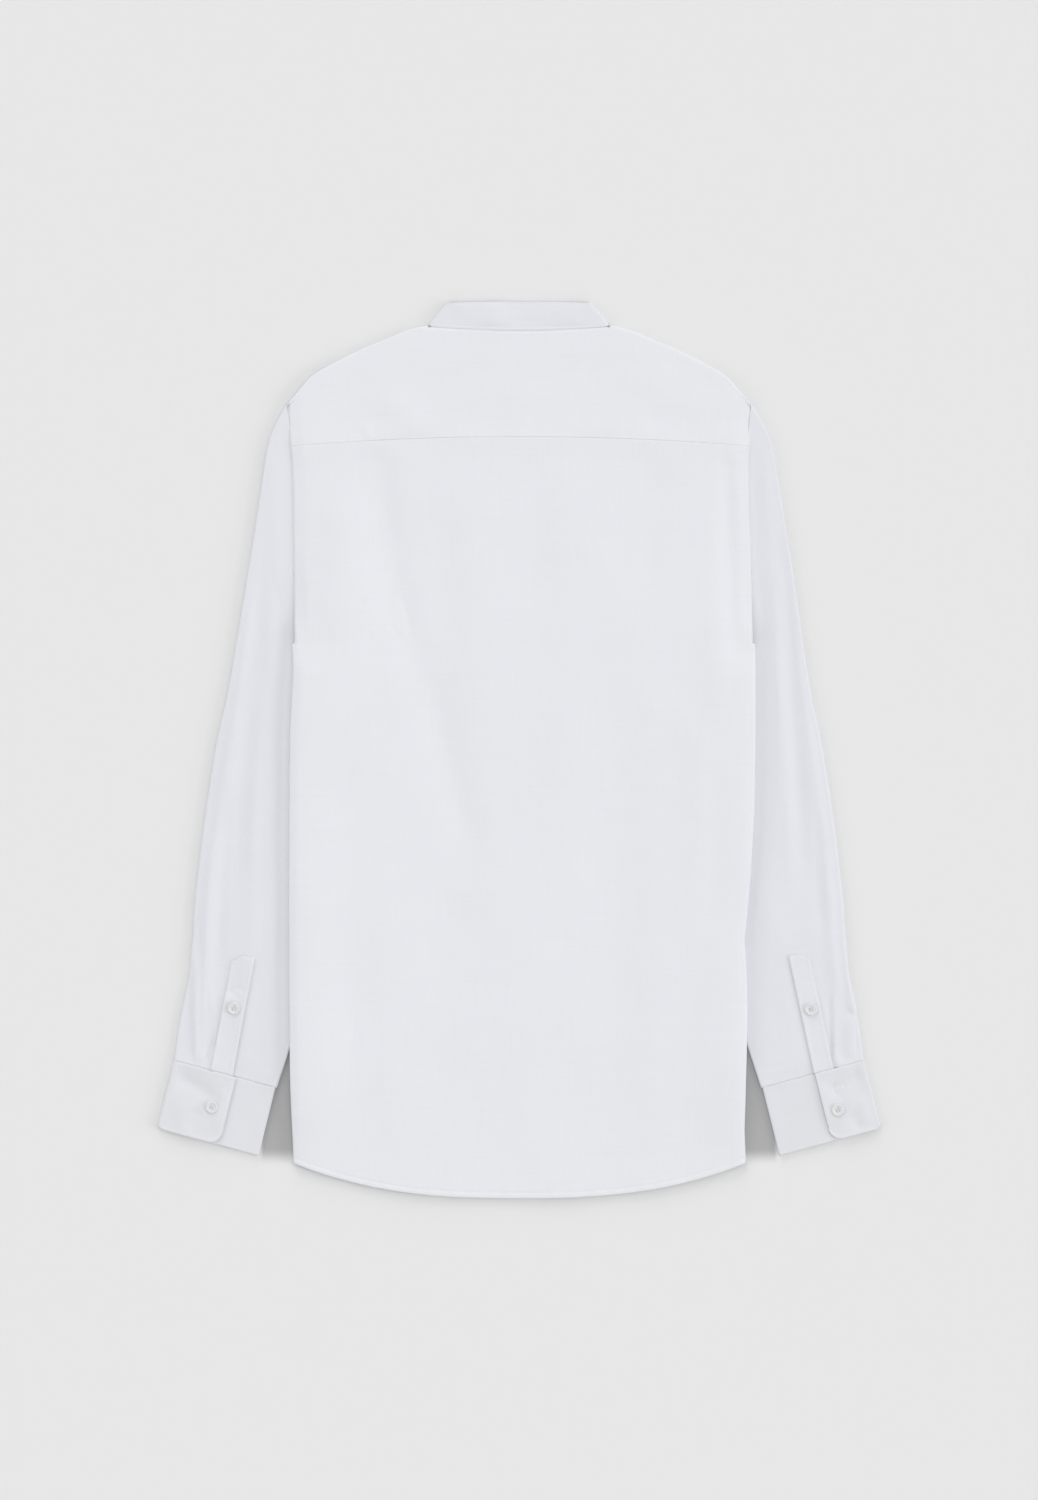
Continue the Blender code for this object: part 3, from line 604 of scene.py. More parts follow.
@dataclass(frozen=True)
class PearlFinish:
    """Pearl-white button with faint clouds and a polished face."""

    name: str = "button pearl"
    light: tuple[float, float, float] = (0.80, 0.80, 0.81)
    dark: tuple[float, float, float] = (0.66, 0.66, 0.68)
    roughness: float = 0.22
    cloud_scale: float = 300.0

    def make(self) -> bpy.types.Material:
        """Node material with a soft cloud between the two colours.

        Returns:
            The new material.
        """
        nodes = Nodes(self.name)
        cloud = nodes.noise(scale=self.cloud_scale, detail=2.0, vector=nodes.place())
        return nodes.finish({
            "Base Color": nodes.blend(cloud, self.dark, self.light),
            "Roughness": self.roughness,
            "Coat Weight": 0.4,
        })


@dataclass(frozen=True)
class ThreadFinish:
    """Sewing thread, a little brighter than the cloth."""

    name: str = "thread"
    colour: tuple[float, float, float] = (0.86, 0.87, 0.89)
    roughness: float = 0.6
    twist_scale: float = 900.0
    twist_height: float = 0.00003

    def make(self) -> bpy.types.Material:
        """Node material with a fine twist.

        Returns:
            The new material.
        """
        nodes = Nodes(self.name)
        inputs = {"Scale": self.twist_scale, "Vector": nodes.place()}
        twist = nodes.add("TexWave", inputs, bands_direction="DIAGONAL")
        return nodes.finish({
            "Normal": nodes.bump(twist.outputs["Fac"], 0.5, self.twist_height),
            "Base Color": (*self.colour, 1.0),
            "Roughness": self.roughness,
        })


@dataclass(frozen=True)
class FloorFinish:
    """Plain pale matt paper, with a painted shadow in the two gaps between the body and the
    sleeves.
    """

    name: str = "floor"
    colour: tuple[float, float, float] = (0.80, 0.80, 0.80)
    # Colour of the painted shadow, then where it fades out at its foot, its top and its outer side.
    nook: tuple[float, float, float] = (0.43, 0.43, 0.435)
    nook_foot: tuple[float, float] = (-0.3660, -0.3500)
    nook_top: tuple[float, float] = (-0.2200, -0.2400)
    nook_out: tuple[float, float] = (0.2290, 0.2240)
    roughness: float = 1.0

    def make(self) -> bpy.types.Material:
        """Matt node material that reads the floor's own place, where it paints the shadow.

        Returns:
            The new material.
        """
        nodes = Nodes(self.name)
        parts = nodes.add("SeparateXYZ", {"Vector": nodes.place()})
        up = parts.outputs["Y"]
        out = nodes.math("ABSOLUTE", parts.outputs["X"])
        shadow_fades = []
        for socket, (start, end) in ((up, self.nook_foot), (up, self.nook_top),
                                     (out, self.nook_out)):
            inputs = {"From Min": start, "From Max": end, "Value": socket}
            fade = nodes.add("MapRange", inputs, interpolation_type="SMOOTHSTEP")
            shadow_fades.append(fade.outputs["Result"])
        foot, top, side = shadow_fades
        # share is the mask of the painted shadow on the floor.
        share = nodes.math("MULTIPLY", nodes.math("MULTIPLY", foot, top), side)
        return nodes.finish({
            "Base Color": nodes.blend(share, self.colour, self.nook),
            "Roughness": self.roughness,
            "Specular IOR Level": 0.0,
        })


@dataclass
class Finishes:
    """The materials that pieces share. The sleeve, collar and cuff cloths are the shirt cloth made
    darker, as painted shade.
    """

    shirt: bpy.types.Material
    # Shirt cloth made darker: painted shade on the sleeves and plackets.
    sleeve: bpy.types.Material
    # Shirt cloth made darker: painted shade on the collar.
    collar: bpy.types.Material
    # Shirt cloth made darker: painted shade on the cuffs.
    cuff: bpy.types.Material
    pearl: bpy.types.Material
    thread: bpy.types.Material

    @classmethod
    def made(cls) -> "Finishes":
        """Make every material once.

        Returns:
            The finishes.
        """
        return cls(
            shirt=ClothFinish("shirt cloth", (0.800, 0.812, 0.850)).make(),
            # Shirt cloth made darker as painted shade on the sleeves and their plackets.
            sleeve=ClothFinish("sleeve cloth", (0.768, 0.778, 0.822)).make(),
            # Shirt cloth made darker as painted shade on the collar.
            collar=ClothFinish("collar cloth", (0.755, 0.758, 0.805), weave=0.000018).make(),
            # Shirt cloth made darker as painted shade on the cuffs.
            cuff=ClothFinish("cuff cloth", (0.752, 0.758, 0.795), weave=0.000018).make(),
            pearl=PearlFinish().make(),
            thread=ThreadFinish().make(),
        )


# ---------------------------------------------------------------- cloth sheets and stitches

Spot = tuple[Vector, tuple[float, float]]
Place = Callable[[object, object], Spot]
Keep = Callable[[object, object, int], bool]


def meshed(name: str, bm: bmesh.types.BMesh) -> bpy.types.Mesh:
    """Mesh from a bmesh, which is freed."""
    mesh = bpy.data.meshes.new(name)
    bm.to_mesh(mesh)
    bm.free()
    return mesh


def shown(name: str, data: bpy.types.ID) -> bpy.types.Object:
    """New object in the scene, from its mesh, light or camera."""
    thing = bpy.data.objects.new(name, data)
    bpy.context.scene.collection.objects.link(thing)
    return thing


@dataclass
class ClothSheet:
    """One cut piece: a grid with its points placed one by one, then given its thickness."""

    name: str
    columns: Sequence[object]
    rows: Sequence[object]
    place: Place
    wall: float = 0.0008
    keep: Optional[Keep] = None
    crisp: bool = False

    def build(self, finish: bpy.types.Material) -> bpy.types.Object:
        """Make the piece.

        Args:
            finish: Its material.

        Returns:
            The new object, at the origin of the frame.
        """
        across = len(self.columns) - 1
        along = len(self.rows) - 1
        bm = bmesh.new()
        bmesh.ops.create_grid(bm, x_segments=across, y_segments=along, size=0.5)
        at = {}
        for vert in bm.verts:
            at[vert] = (round((vert.co.x + 0.5) * across), round((vert.co.y + 0.5) * along))
        if self.keep:
            spare = []
            for face in bm.faces:
                i = min(at[vert][0] for vert in face.verts)
                j = min(at[vert][1] for vert in face.verts)
                if not self.keep(self.columns[i], self.columns[i + 1], j):
                    spare.append(face)
            bmesh.ops.delete(bm, geom=spare, context="FACES")
        cloth = {}
        for vert in bm.verts:
            i, j = at[vert]
            vert.co, cloth[vert] = self.place(self.columns[i], self.rows[j])
        layer = bm.loops.layers.uv.new("cloth")
        for face in bm.faces:
            for loop in face.loops:
                loop[layer].uv = cloth[loop.vert]
        bmesh.ops.remove_doubles(bm, verts=bm.verts, dist=1e-7)
        bmesh.ops.recalc_face_normals(bm, faces=bm.faces)
        bm.edges.index_update()
        rim = [edge.index for edge in bm.edges if edge.is_boundary and self.crisp]
        mesh = meshed(self.name, bm)
        thing = dressed(self.name, mesh, finish)
        for index in rim:
            mesh.edges[index].use_edge_sharp = True
        thick = thing.modifiers.new("wall", "SOLIDIFY")
        thick.thickness = self.wall
        thick.offset = 0.0
        return thing


def dressed(name: str, mesh: bpy.types.Mesh, finish: bpy.types.Material) -> bpy.types.Object:
    """Put a mesh into the scene as a smooth piece that rides on the shirt's one body.

    Args:
        name: The piece's name.
        mesh: Its mesh.
        finish: Its material.

    Returns:
        The new object.
    """
    mesh.shade_smooth()
    mesh.set_sharp_from_angle(angle=math.radians(50.0))
    mesh.materials.append(finish)
    thing = shown(name, mesh)
    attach(thing, "root")
    return thing


@dataclass(frozen=True)
class Stitching:
    """Rows of separate stitches laid on a piece, joined in one mesh."""

    length: float = 0.0023
    pitch: float = 0.0030
    width: float = 0.00034
    height: float = 0.00026

    def build(self, name: str, runs: Iterable[Sequence[Vector]], finish: bpy.types.Material
              ) -> bpy.types.Object:
        """Lay stitches along each run of points.

        Args:
            name: Name of the joined piece.
            runs: Lines of points on the cloth's surface.
            finish: Material of the thread.

        Returns:
            The new object.
        """
        bm = bmesh.new()
        for run in runs:
            for middle, along in self._places(run):
                side = along.cross(Vector((0.0, 0.0, 1.0))).normalized()
                up = side.cross(along).normalized()
                turn = Matrix((along, side, up)).transposed().to_4x4()
                size = Matrix.Diagonal((self.length / 2, self.width / 2, self.height / 2, 1.0))
                bmesh.ops.create_uvsphere(bm, u_segments=6, v_segments=4, radius=1.0,
                                          matrix=Matrix.Translation(middle) @ turn @ size)
        return dressed(name, meshed(name, bm), finish)

    def _places(self, run: Sequence[Vector]) -> Iterable[tuple[Vector, Vector]]:
        """Middle and direction of each stitch along a run.

        Args:
            run: Line of points.

        Returns:
            Middle and direction of one stitch after another.
        """
        left = self.pitch / 2.0
        for start, end in zip(run, run[1:]):
            step = end - start
            length = step.length
            if length < 1e-9:
                continue
            along = step / length
            while left <= length:
                yield start + along * left, along
                left += self.pitch
            left -= length


# ---------------------------------------------------------------- body

@dataclass
class Shirt:
    """What every piece needs to know: the lay, the cut and the finishes."""

    lay: Lay
    cut: Cut
    finishes: Finishes

    def replace(self, thing: bpy.types.Object, node: str, slot: str) -> None:
        """Let a piece stand for its solid by hiding the solid."""
        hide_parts(node)


@dataclass
class Body:
    """Back panel, yoke and both fronts."""

    shirt: Shirt
    bends: int = 6
    seam_ridge: float = 0.0007
    seam_gather: float = 0.00015
    back_depth: float = 1.35
    hem_swell: float = 0.00014
    hem_edge: float = 0.00025
    hem_groove: float = 0.00022
    hem_ripple: float = 0.00018
    hem_stitch_y: float = 0.0045
    left_roll: float = 0.0042
    right_roll: float = 0.0028
    settle: float = 0.0018
    settle_more: float = 0.0016
    back_creases: tuple[Crease, ...] = (
        Crease(-0.1250, 0.268, -0.0860, 0.060, -0.0016, 0.013, 0.006, 1.5),
        Crease(-0.0900, 0.080, -0.0390, -0.115, -0.0013, 0.016, -0.004),
        Crease(-0.1560, 0.240, -0.1440, -0.030, 0.0015, 0.026),
        Crease(-0.0480, 0.250, -0.0300, 0.020, 0.0008, 0.024),
        Crease(0.1815, 0.266, 0.1800, 0.080, -0.0011, 0.007, 0.002),
        Crease(0.1620, 0.230, 0.1650, -0.020, 0.0007, 0.014),
        Crease(0.1440, 0.045, 0.1500, -0.175, 0.0009, 0.011, -0.004, 1.6),
        Crease(0.0620, 0.235, 0.0480, -0.080, 0.0009, 0.030),
        Crease(0.0980, -0.040, 0.0860, -0.330, -0.0007, 0.024),
        Crease(-0.0150, -0.080, 0.0120, -0.360, 0.0007, 0.028),
        Crease(-0.1380, -0.130, -0.1250, -0.360, -0.0006, 0.020, 0.006),
        Crease(0.0150, 0.262, 0.0080, 0.120, -0.0006, 0.018),
        Crease(0.1160, 0.262, 0.1060, 0.130, -0.0005, 0.012),
    )
    yoke_creases: tuple[Crease, ...] = (
        Crease(-0.1335, 0.2860, -0.1320, 0.2730, 0.0007, 0.0025),
        Crease(-0.1190, 0.3080, -0.0780, 0.2790, 0.0007, 0.014),
        Crease(0.1980, 0.2700, 0.2040, 0.2590, 0.0006, 0.0020),
        Crease(0.0900, 0.3350, 0.1700, 0.2920, 0.0007, 0.016),
        Crease(-0.0950, 0.3460, -0.1780, 0.3020, -0.0006, 0.013),
        Crease(-0.0250, 0.3520, 0.0100, 0.2880, 0.0005, 0.020),
        Crease(0.0450, 0.3500, 0.0800, 0.2860, -0.0005, 0.016),
    )
    front_creases: tuple[Crease, ...] = (
        Crease(0.0620, 0.255, 0.0850, 0.060, 0.0005, 0.018),
        Crease(0.1300, 0.240, 0.1250, 0.020, -0.0004, 0.016, 0.004),
        Crease(0.0900, -0.040, 0.0700, -0.300, 0.0005, 0.022),
        Crease(0.0480, 0.120, 0.0560, -0.120, -0.0004, 0.014),
    )

    def turned(self, main: list[float], radius: float) -> list[float]:
        """Columns to the fold line, round the bend and back under."""
        fold = self.shirt.cut.fold_x
        arc = math.pi * radius
        bend = [fold + arc * k / self.bends for k in range(1, self.bends + 1)]
        end = fold + arc
        return main + bend + [end + self.shirt.cut.turn_under * k / 16 for k in range(1, 17)]

    def place_turned(self, w: float, y: float, radius: float,
                     top: Callable[[float, float], float],
                     under: Callable[[float], float]) -> Vector:
        """Point of a panel whose side is turned under.

        Args:
            w: Distance along the cloth from the centre line, with its side's sign.
            y: Height up the shirt.
            radius: Bend radius at the fold line.
            top: Height of the upper part at x and y.
            under: Height of the turned-under part at y.

        Returns:
            The point.
        """
        fold = self.shirt.cut.fold_x
        out = abs(w)
        arc = math.pi * radius
        if out <= fold:
            x = out
            z = top(math.copysign(x, w), y)
        elif out < fold + arc - 1e-9:
            angle = (out - fold) / radius
            x = fold + radius * math.sin(angle)
            share = (1.0 - math.cos(angle)) / 2.0
            z = mix(top(math.copysign(fold, w), y), under(y), share)
        else:
            x = 2.0 * fold + arc - out
            z = under(y)
        x = math.copysign(x, w)
        return self.shirt.lay.spot(x, y, z)

    def rows(self, above: int, below: int) -> list[tuple[str, float]]:
        """Rows above the armhole notch and below it, close together at the seam and hem."""
        upper = [0.0, 0.004, 0.009, 0.014, 0.021]
        upper += [mix(0.030, 1.0, k / above) for k in range(above)]
        lower = [mix(0.0, 0.984, k / below) for k in range(below)]
        lower += [0.984, 0.9865, 0.989, 0.9905, 0.992, 0.9935, 0.996, 0.9985, 1.0]
        return [("above", s) for s in upper] + [("below", s) for s in lower]

    def count_above(self, rows: list[tuple[str, float]]) -> int:
        """Number of rows above the armhole notch."""
        return sum(1 for part, _ in rows if part == "above")

    def hem_relief(self, y: float, hem_y: float) -> float:
        """Narrow folded hem: a swell at the edge and a stitched groove above it."""
        up = y - hem_y
        swell = self.hem_swell * ramp(up, 0.0046, 0.0030) - self.hem_edge * ramp(up, 0.0016, 0.0)
        return swell - self.hem_groove * math.exp(-((up - self.hem_stitch_y) / 0.0009) ** 2)

    def back_top(self, x: float, y: float) -> float:
        """Back panel where it lies on top, with its creases.

        Args:
            x: Place across the shirt.
            y: Place up the shirt.

        Returns:
            Height of the middle surface.
        """
        lay = self.shirt.lay
        edge = ramp(abs(x), 0.200, 0.186)
        seam = self.shirt.cut.yoke_seam(x) - y
        relief = self.back_depth * relief_of(self.back_creases, x, y)
        relief += rumple(x, 0.6 * y, 0.060, 0.0009, 3.0) + rumple(x, y, 0.024, 0.00022, 8.0)
        relief *= 1.15 * mix(0.35, 1.0, edge) * ramp(seam, 0.0, 0.020)
        relief += self.seam_pucker(x) * math.exp(-seam / 0.006)
        relief += self.seam_ridge * ramp(seam, 0.022, 0.0)
        ripple = self.hem_ripple * math.sin(x * 410.0 + 1.5 * math.sin(x * 60.0))
        up = y - self.shirt.cut.hem(self.shirt.cut.back_hem_y, x)
        relief += ripple * math.exp(-abs(up - 0.004) / 0.010)
        relief += self.side_roll(x, y) + self.armhole_settle(x, y)
        return lay.back(x, y) + relief + self.hem_relief(y, y - up)

    def seam_pucker(self, x: float) -> float:
        """Small gathers along the yoke seam, the same on both sides of it."""
        return self.seam_gather * math.sin(x * 700.0 + 2.2 * math.sin(x * 88.0))

    def side_roll(self, x: float, y: float) -> float:
        """The turned side isn't pressed: it stands up a little as a soft roll."""
        rise = ramp(abs(x), 0.140, 0.186) * ramp(abs(x), 0.204, 0.190)
        roll = self.left_roll if x < 0.0 else self.right_roll
        return roll * rise * ramp(y, 0.098, 0.060) * ramp(y, -0.385, -0.300)

    def armhole_settle(self, x: float, y: float) -> float:
        """The body's edge sinks a little into the armhole seam."""
        edge = x_at(self.shirt.cut.back_armhole, y)
        settle = self.settle + self.settle_more * ramp(y, 0.190, 0.130)
        settle *= ramp(abs(x), edge - 0.013, edge + 0.001)
        return -settle * ramp(y, 0.096, 0.125) * ramp(y, 0.330, 0.285)

    def build_back(self) -> bpy.types.Object:
        """Back panel below the yoke, with its sides turned under.

        Returns:
            The piece.
        """
        lay = self.shirt.lay
        cut = self.shirt.cut
        radius = 1.5 * lay.layer
        half = self.turned(steps(0.0, cut.fold_x, 64), radius)
        columns = mirrored(half)
        seam_x = cut.seam_end_x()
        rows = self.rows(52, 128)
        above = self.count_above(rows)

        def under(y: float) -> float:
            """Height of the turned-under part."""
            return lay.wall / 2.0 + 2.0 * lay.layer * lay.over_sleeve(y)

        def place(w: float, row: tuple[str, float]) -> Spot:
            """Point and cloth coordinates at a column and a row."""
            part, share = row
            notch = cut.armhole_drop(w)
            if part == "above":
                top = cut.yoke_seam(cut.to_edge(w, cut.fold_x, seam_x)) - 0.00001
                y = mix(top, notch, share)
                x = cut.to_edge(w, cut.fold_x, x_at(cut.back_armhole, y))
                return lay.spot(x, y, self.back_top(x, y)), (w, y)
            y = mix(notch, cut.hem(cut.back_hem_y, w), share)
            return self.place_turned(w, y, radius, self.back_top, under), (w, y)

        def keep(start: float, end: float, row: int) -> bool:
            """Whether the cell between two columns belongs to the piece."""
            return row >= above or max(abs(start), abs(end)) <= cut.fold_x

        sheet = ClothSheet("back_cloth", columns, rows, place, keep=keep)
        return sheet.build(self.shirt.finishes.shirt)

    def yoke_front_point(self, x: float, share: float) -> tuple[float, float]:
        """Place of the yoke's front strap, from the shoulder fold to the forward seam.

        Args:
            x: Place across the yoke at the shoulder fold.
            share: 0 at the fold and 1 at the seam.

        Returns:
            Its x and y.
        """
        cut = self.shirt.cut
        gap = self.shirt.lay.gap
        span = (abs(x) - cut.shoulder_neck_x) / (cut.yoke_half - cut.shoulder_neck_x)
        at = abs(x)
        y = cut.shoulder_fold(x)
        for _ in range(4):
            y = mix(cut.shoulder_fold(x), cut.forward_seam(at) + 1.2 * gap, share)
            neck = cut.neck_at(y) + 2.0 * gap + 0.0020 * ramp(y, 0.350, 0.3715)
            armhole = x_at(cut.front_armhole, y) - cut.yoke_half
            at = abs(x) + (neck - cut.shoulder_neck_x) * (1.0 - span) ** 2 + armhole * span ** 4
        return math.copysign(at, x), y

    def yoke_top(self, x: float, y: float) -> float:
        """Yoke where it lies on top, with its creases and its turned lower edge.

        Args:
            x: Place across the shirt.
            y: Place up the shirt.

        Returns:
            Height of the middle surface.
        """
        cut = self.shirt.cut
        up = y - cut.yoke_seam(x)
        relief = relief_of(self.yoke_creases, x, y)
        relief += rumple(x, y, 0.045, 0.0007, 5.0) + rumple(x, y, 0.020, 0.00022, 1.0)
        relief *= 1.2 * ramp(cut.shoulder_fold(x) - y, 0.0, 0.018) * ramp(up, -0.002, 0.006)
        relief += self.seam_pucker(x) * math.exp(-up / 0.007)
        relief += self.seam_ridge * ramp(up, 0.022, 0.0)
        return self.shirt.lay.back(x, y) + relief + self.armhole_settle(x, y)

    def build_yoke(self) -> bpy.types.Object:
        """Yoke over the shoulders, with a strap down each front.

        Returns:
            The piece.
        """
        lay = self.shirt.lay
        cut = self.shirt.cut
        inner = steps(0.0, cut.shoulder_neck_x, 26)
        half = inner + steps(cut.shoulder_neck_x, cut.yoke_half, 44)[1:]
        columns = mirrored(half)
        back = [0.0, 0.008, 0.018, 0.034, 0.055] + steps(0.08, 1.0, 32)
        rows = [("back", s) for s in back]
        rows += [("bend", angle) for angle in (22.0, 45.0, 68.0, 90.0, 112.0, 135.0, 158.0)]
        rows += [("front", s) for s in steps(0.0, 1.0, 14)]
        seam_x = cut.seam_end_x()

        def place(x: float, row: tuple[str, float]) -> Spot:
            """Point and cloth coordinates at a column and a row."""
            part, share = row
            fold_y = cut.shoulder_fold(x)
            if abs(x) < cut.shoulder_neck_x:
                rise = (cut.neck_y - cut.back_neck_y) * (x / cut.neck_x) ** 2
                fold_y = cut.back_neck_y - 0.00001 + rise
            if part == "back":
                low = cut.yoke_seam(cut.to_edge(x, cut.yoke_half, seam_x)) + 0.00001
                y = mix(low, fold_y, share)
                at = cut.to_edge(x, cut.yoke_half, x_at(cut.back_armhole, y))
                return lay.spot(at, y, self.yoke_top(at, y)), (x, y)
            if part == "bend":
                high = lay.back(x, fold_y)
                radius = (high - lay.front(x, fold_y)) / 2.0
                angle = math.radians(share)
                y = fold_y + radius * math.sin(angle)
                z = high - radius * (1.0 - math.cos(angle))
                return lay.spot(x, y, z), (x, fold_y + radius * angle)
            at, y = self.yoke_front_point(x, share)
            return lay.spot(at, y, lay.front(at, y)), (x, 2.0 * fold_y + 0.01 - y)

        def keep(start: float, end: float, row: int) -> bool:
            """Whether the cell between two columns belongs to the piece."""
            return row < len(back) - 1 or min(abs(start), abs(end)) >= cut.shoulder_neck_x - 1e-6

        sheet = ClothSheet("yoke_cloth", columns, rows, place, keep=keep)
        return sheet.build(self.shirt.finishes.shirt)

    def front_top(self, w: float) -> float:
        """Top edge of a front at column w: the neck seam, then the forward seam.

        Args:
            w: Distance along the cloth from the centre line.

        Returns:
            The edge's y.
        """
        cut = self.shirt.cut
        if abs(w) <= cut.neck_corner:
            return cut.front_neck(w, self.shirt.lay.gap)
        out = w
        y = cut.forward_seam(out)
        for _ in range(4):
            y = cut.forward_seam(out)
            out = cut.to_edge(w, cut.fold_x, x_at(cut.front_armhole, y))
        return y

    def build_front(self, side: Side) -> bpy.types.Object:
        """One front; the left one's edge lies under the right one's.

        Args:
            side: Which front.

        Returns:
            The piece.
        """
        lay = self.shirt.lay
        cut = self.shirt.cut
        sign = side.value
        radius = 0.5 * lay.layer
        middle = [-cut.lap_half, -0.0150, -cut.band_end, -0.006, 0.0]
        middle += steps(0.0, cut.neck_corner, 22)[1:]
        middle += steps(cut.neck_corner, cut.fold_x, 36)[1:]
        columns = self.turned(middle, radius)
        rows = self.rows(40, 96)
        above = self.count_above(rows)

        def under(y: float) -> float:
            """Height of the turned-under part."""
            return lay.wall / 2.0 + lay.layer * (1.0 + 2.0 * lay.over_sleeve(y))

        def top(x: float, y: float) -> float:
            """Height of the upper part with its creases."""
            relief = relief_of(self.front_creases, abs(x), y)
            relief *= (1.0 - lay.margin(x, y)) * ramp(abs(x), 0.020, 0.045)
            relief *= ramp(y, self.front_top(abs(x)), self.front_top(abs(x)) - 0.03)
            hem_y = cut.hem(cut.front_hem_y, x)
            relief = max(relief, -0.0001) + self.hem_relief(y, hem_y) * 0.6
            return lay.lapped_front(side, x, y) + max(relief, -0.0001)

        def place(w: float, row: tuple[str, float]) -> Spot:
            """Point and cloth coordinates at a column and a row."""
            part, share = row
            notch = cut.armhole_drop(w)
            if part == "above":
                y = mix(self.front_top(w), notch, share)
                x = sign * cut.to_edge(w, cut.fold_x, x_at(cut.front_armhole, y))
                return lay.spot(x, y, top(x, y)), (w, y)
            y = mix(notch, cut.hem(cut.front_hem_y, w), share)
            return self.place_turned(sign * w, y, radius, top, under), (w, y)

        def keep(start: float, end: float, row: int) -> bool:
            """Whether the cell between two columns belongs to the piece."""
            return row >= above or end <= cut.fold_x + 1e-9

        sheet = ClothSheet(f"front_cloth_{side.label}", columns, rows, place, keep=keep)
        return sheet.build(self.shirt.finishes.shirt)


# ---------------------------------------------------------------- collar

@dataclass
class Collar:
    """Stand collar: over the neck at the back, folded at both sides, buttoned in front."""

    shirt: Shirt
    top_x: float = 0.0610
    top_y: float = 0.3930
    peak_y: float = 0.3942
    top_drop: float = 0.0650
    low: float = 0.0006
    top_height: float = 0.0034
    sag: float = 0.0015
    stiff_wall: float = 0.0012
    wall: float = 0.0010
    seam_swell: float = 0.00030
    seam_groove: float = 0.00016
    top_groove: float = 0.00018
    creases: tuple[Crease, ...] = (
        Crease(-0.0260, 0.3960, -0.0210, 0.3660, 0.0011, 0.012),
        Crease(0.0020, 0.3960, 0.0040, 0.3660, -0.0008, 0.016),
        Crease(0.0430, 0.3930, 0.0480, 0.3680, 0.0007, 0.013),
        Crease(-0.0560, 0.3900, -0.0600, 0.3700, -0.0005, 0.010),
    )

    def high(self, share: float) -> float:
        """Height of the back half at the side folds, from the neck seam to the top edge."""
        cut = self.shirt.cut
        start = self.shirt.lay.back(cut.neck_x, cut.neck_y) + 0.0002
        return mix(start, self.top_height, share)

    def back_point(self, at: float, share: float) -> Vector:
        """Point of the back half.

        Args:
            at: -1 at the left side fold and 1 at the right one.
            share: 0 at the neck seam and 1 at the top edge.

        Returns:
            The point.
        """
        cut = self.shirt.cut
        x = mix(cut.neck_x, self.top_x, share) * at
        low = mix(cut.back_neck_y, cut.neck_y, at * at)
        peak = mix(self.peak_y, self.top_y, at ** 4)
        level = mix(self.shirt.lay.back(x, cut.back_neck_y), self.high(share),
                    max(share, at * at))
        level -= self.sag * share * share * ramp(abs(at), 1.0, 0.6)
        y = mix(low, peak, share)
        inside = ramp(abs(at), 1.0, 0.86)
        relief = relief_of(self.creases, x, y) * inside
        relief *= ramp(share, 0.0, 0.35)
        seam = ramp(abs(at), 0.86, 0.66)
        relief += self.seam_swell * ramp(share, -0.01, 0.035) * ramp(share, 0.12, 0.05) * seam
        relief -= self.seam_groove * math.exp(-((share - 0.10) / 0.030) ** 2) * seam
        relief -= self.top_groove * math.exp(-((share - 0.93) / 0.025) ** 2) * inside
        return Vector((x, y, level + relief))

    def place(self, column: tuple[int, str, float], share: float) -> Spot:
        """Point of the band with its cloth coordinates.

        Args:
            column: Side, part round the band and place in it.
            share: 0 at the neck seam and 1 at the top edge.

        Returns:
            The point and its cloth coordinates.
        """
        cut = self.shirt.cut
        lay = self.shirt.lay
        side, part, at = column
        if part == "back":
            return self.back_point(at, share), (at * cut.neck_x, share * 0.03)
        if part == "bend":
            along = Vector((self.top_x - cut.neck_x, self.top_y - cut.neck_y)).normalized()
            start = Vector((mix(cut.neck_x, self.top_x, share), mix(cut.neck_y, self.top_y, share)))
            radius = (self.high(share) - self.low) / 2.0
            angle = math.radians(at)
            spot = start + Vector((along.y, -along.x)) * radius * math.sin(angle)
            z = self.high(share) - radius * (1.0 - math.cos(angle))
            u = side * (cut.neck_x + radius * angle)
            return Vector((side * spot.x, spot.y, z)), (u, share * 0.03)
        x = mix(cut.neck_x, self.top_x, share) * at / cut.neck_x
        drop = mix(cut.front_neck_drop, self.top_drop, share)
        level = 1.0 - min((at / cut.neck_x) ** 2, 1.0)
        y = mix(cut.neck_y, self.top_y, share) - drop * math.sqrt(level)
        lift = lay.button_thick + lay.gap
        if side > 0:
            lift += self.stiff_wall + lay.gap
        z = self.low + lift * ramp(x, 0.044, 0.017)
        return Vector((side * x, y, z)), (side * (2.6 * cut.neck_x - at), share * 0.03)

    def build(self) -> bpy.types.Object:
        """Make the band in one piece.

        Returns:
            The piece.
        """
        cut = self.shirt.cut
        arc = [-cut.band_end, -0.008] + steps(0.0, 0.066, 22)
        turn = [math.degrees(math.asin(k)) for k in steps(0.066 / cut.neck_x, 1.0, 8)]
        arc += [cut.neck_x * math.sin(math.radians(angle)) for angle in turn[1:]]
        bends = (158.0, 135.0, 112.0, 90.0, 68.0, 45.0, 22.0)
        columns = [(-1, "front", x) for x in arc]
        columns += [(-1, "bend", angle) for angle in bends]
        columns += [(0, "back", b) for b in steps(-1.0, 1.0, 70)]
        columns += [(1, "bend", angle) for angle in reversed(bends)]
        columns += [(1, "front", x) for x in reversed(arc)]
        rows = [0.0, 0.025, 0.05, 0.08, 0.11, 0.15] + steps(0.2, 0.85, 12)
        rows += [0.89, 0.92, 0.95, 0.98, 1.0]
        sheet = ClothSheet("collar_cloth", columns, rows, self.place, self.wall, crisp=True)
        # The collar cloth is the shirt cloth darkened as painted shade.
        return sheet.build(self.shirt.finishes.collar)


# ---------------------------------------------------------------- sleeves

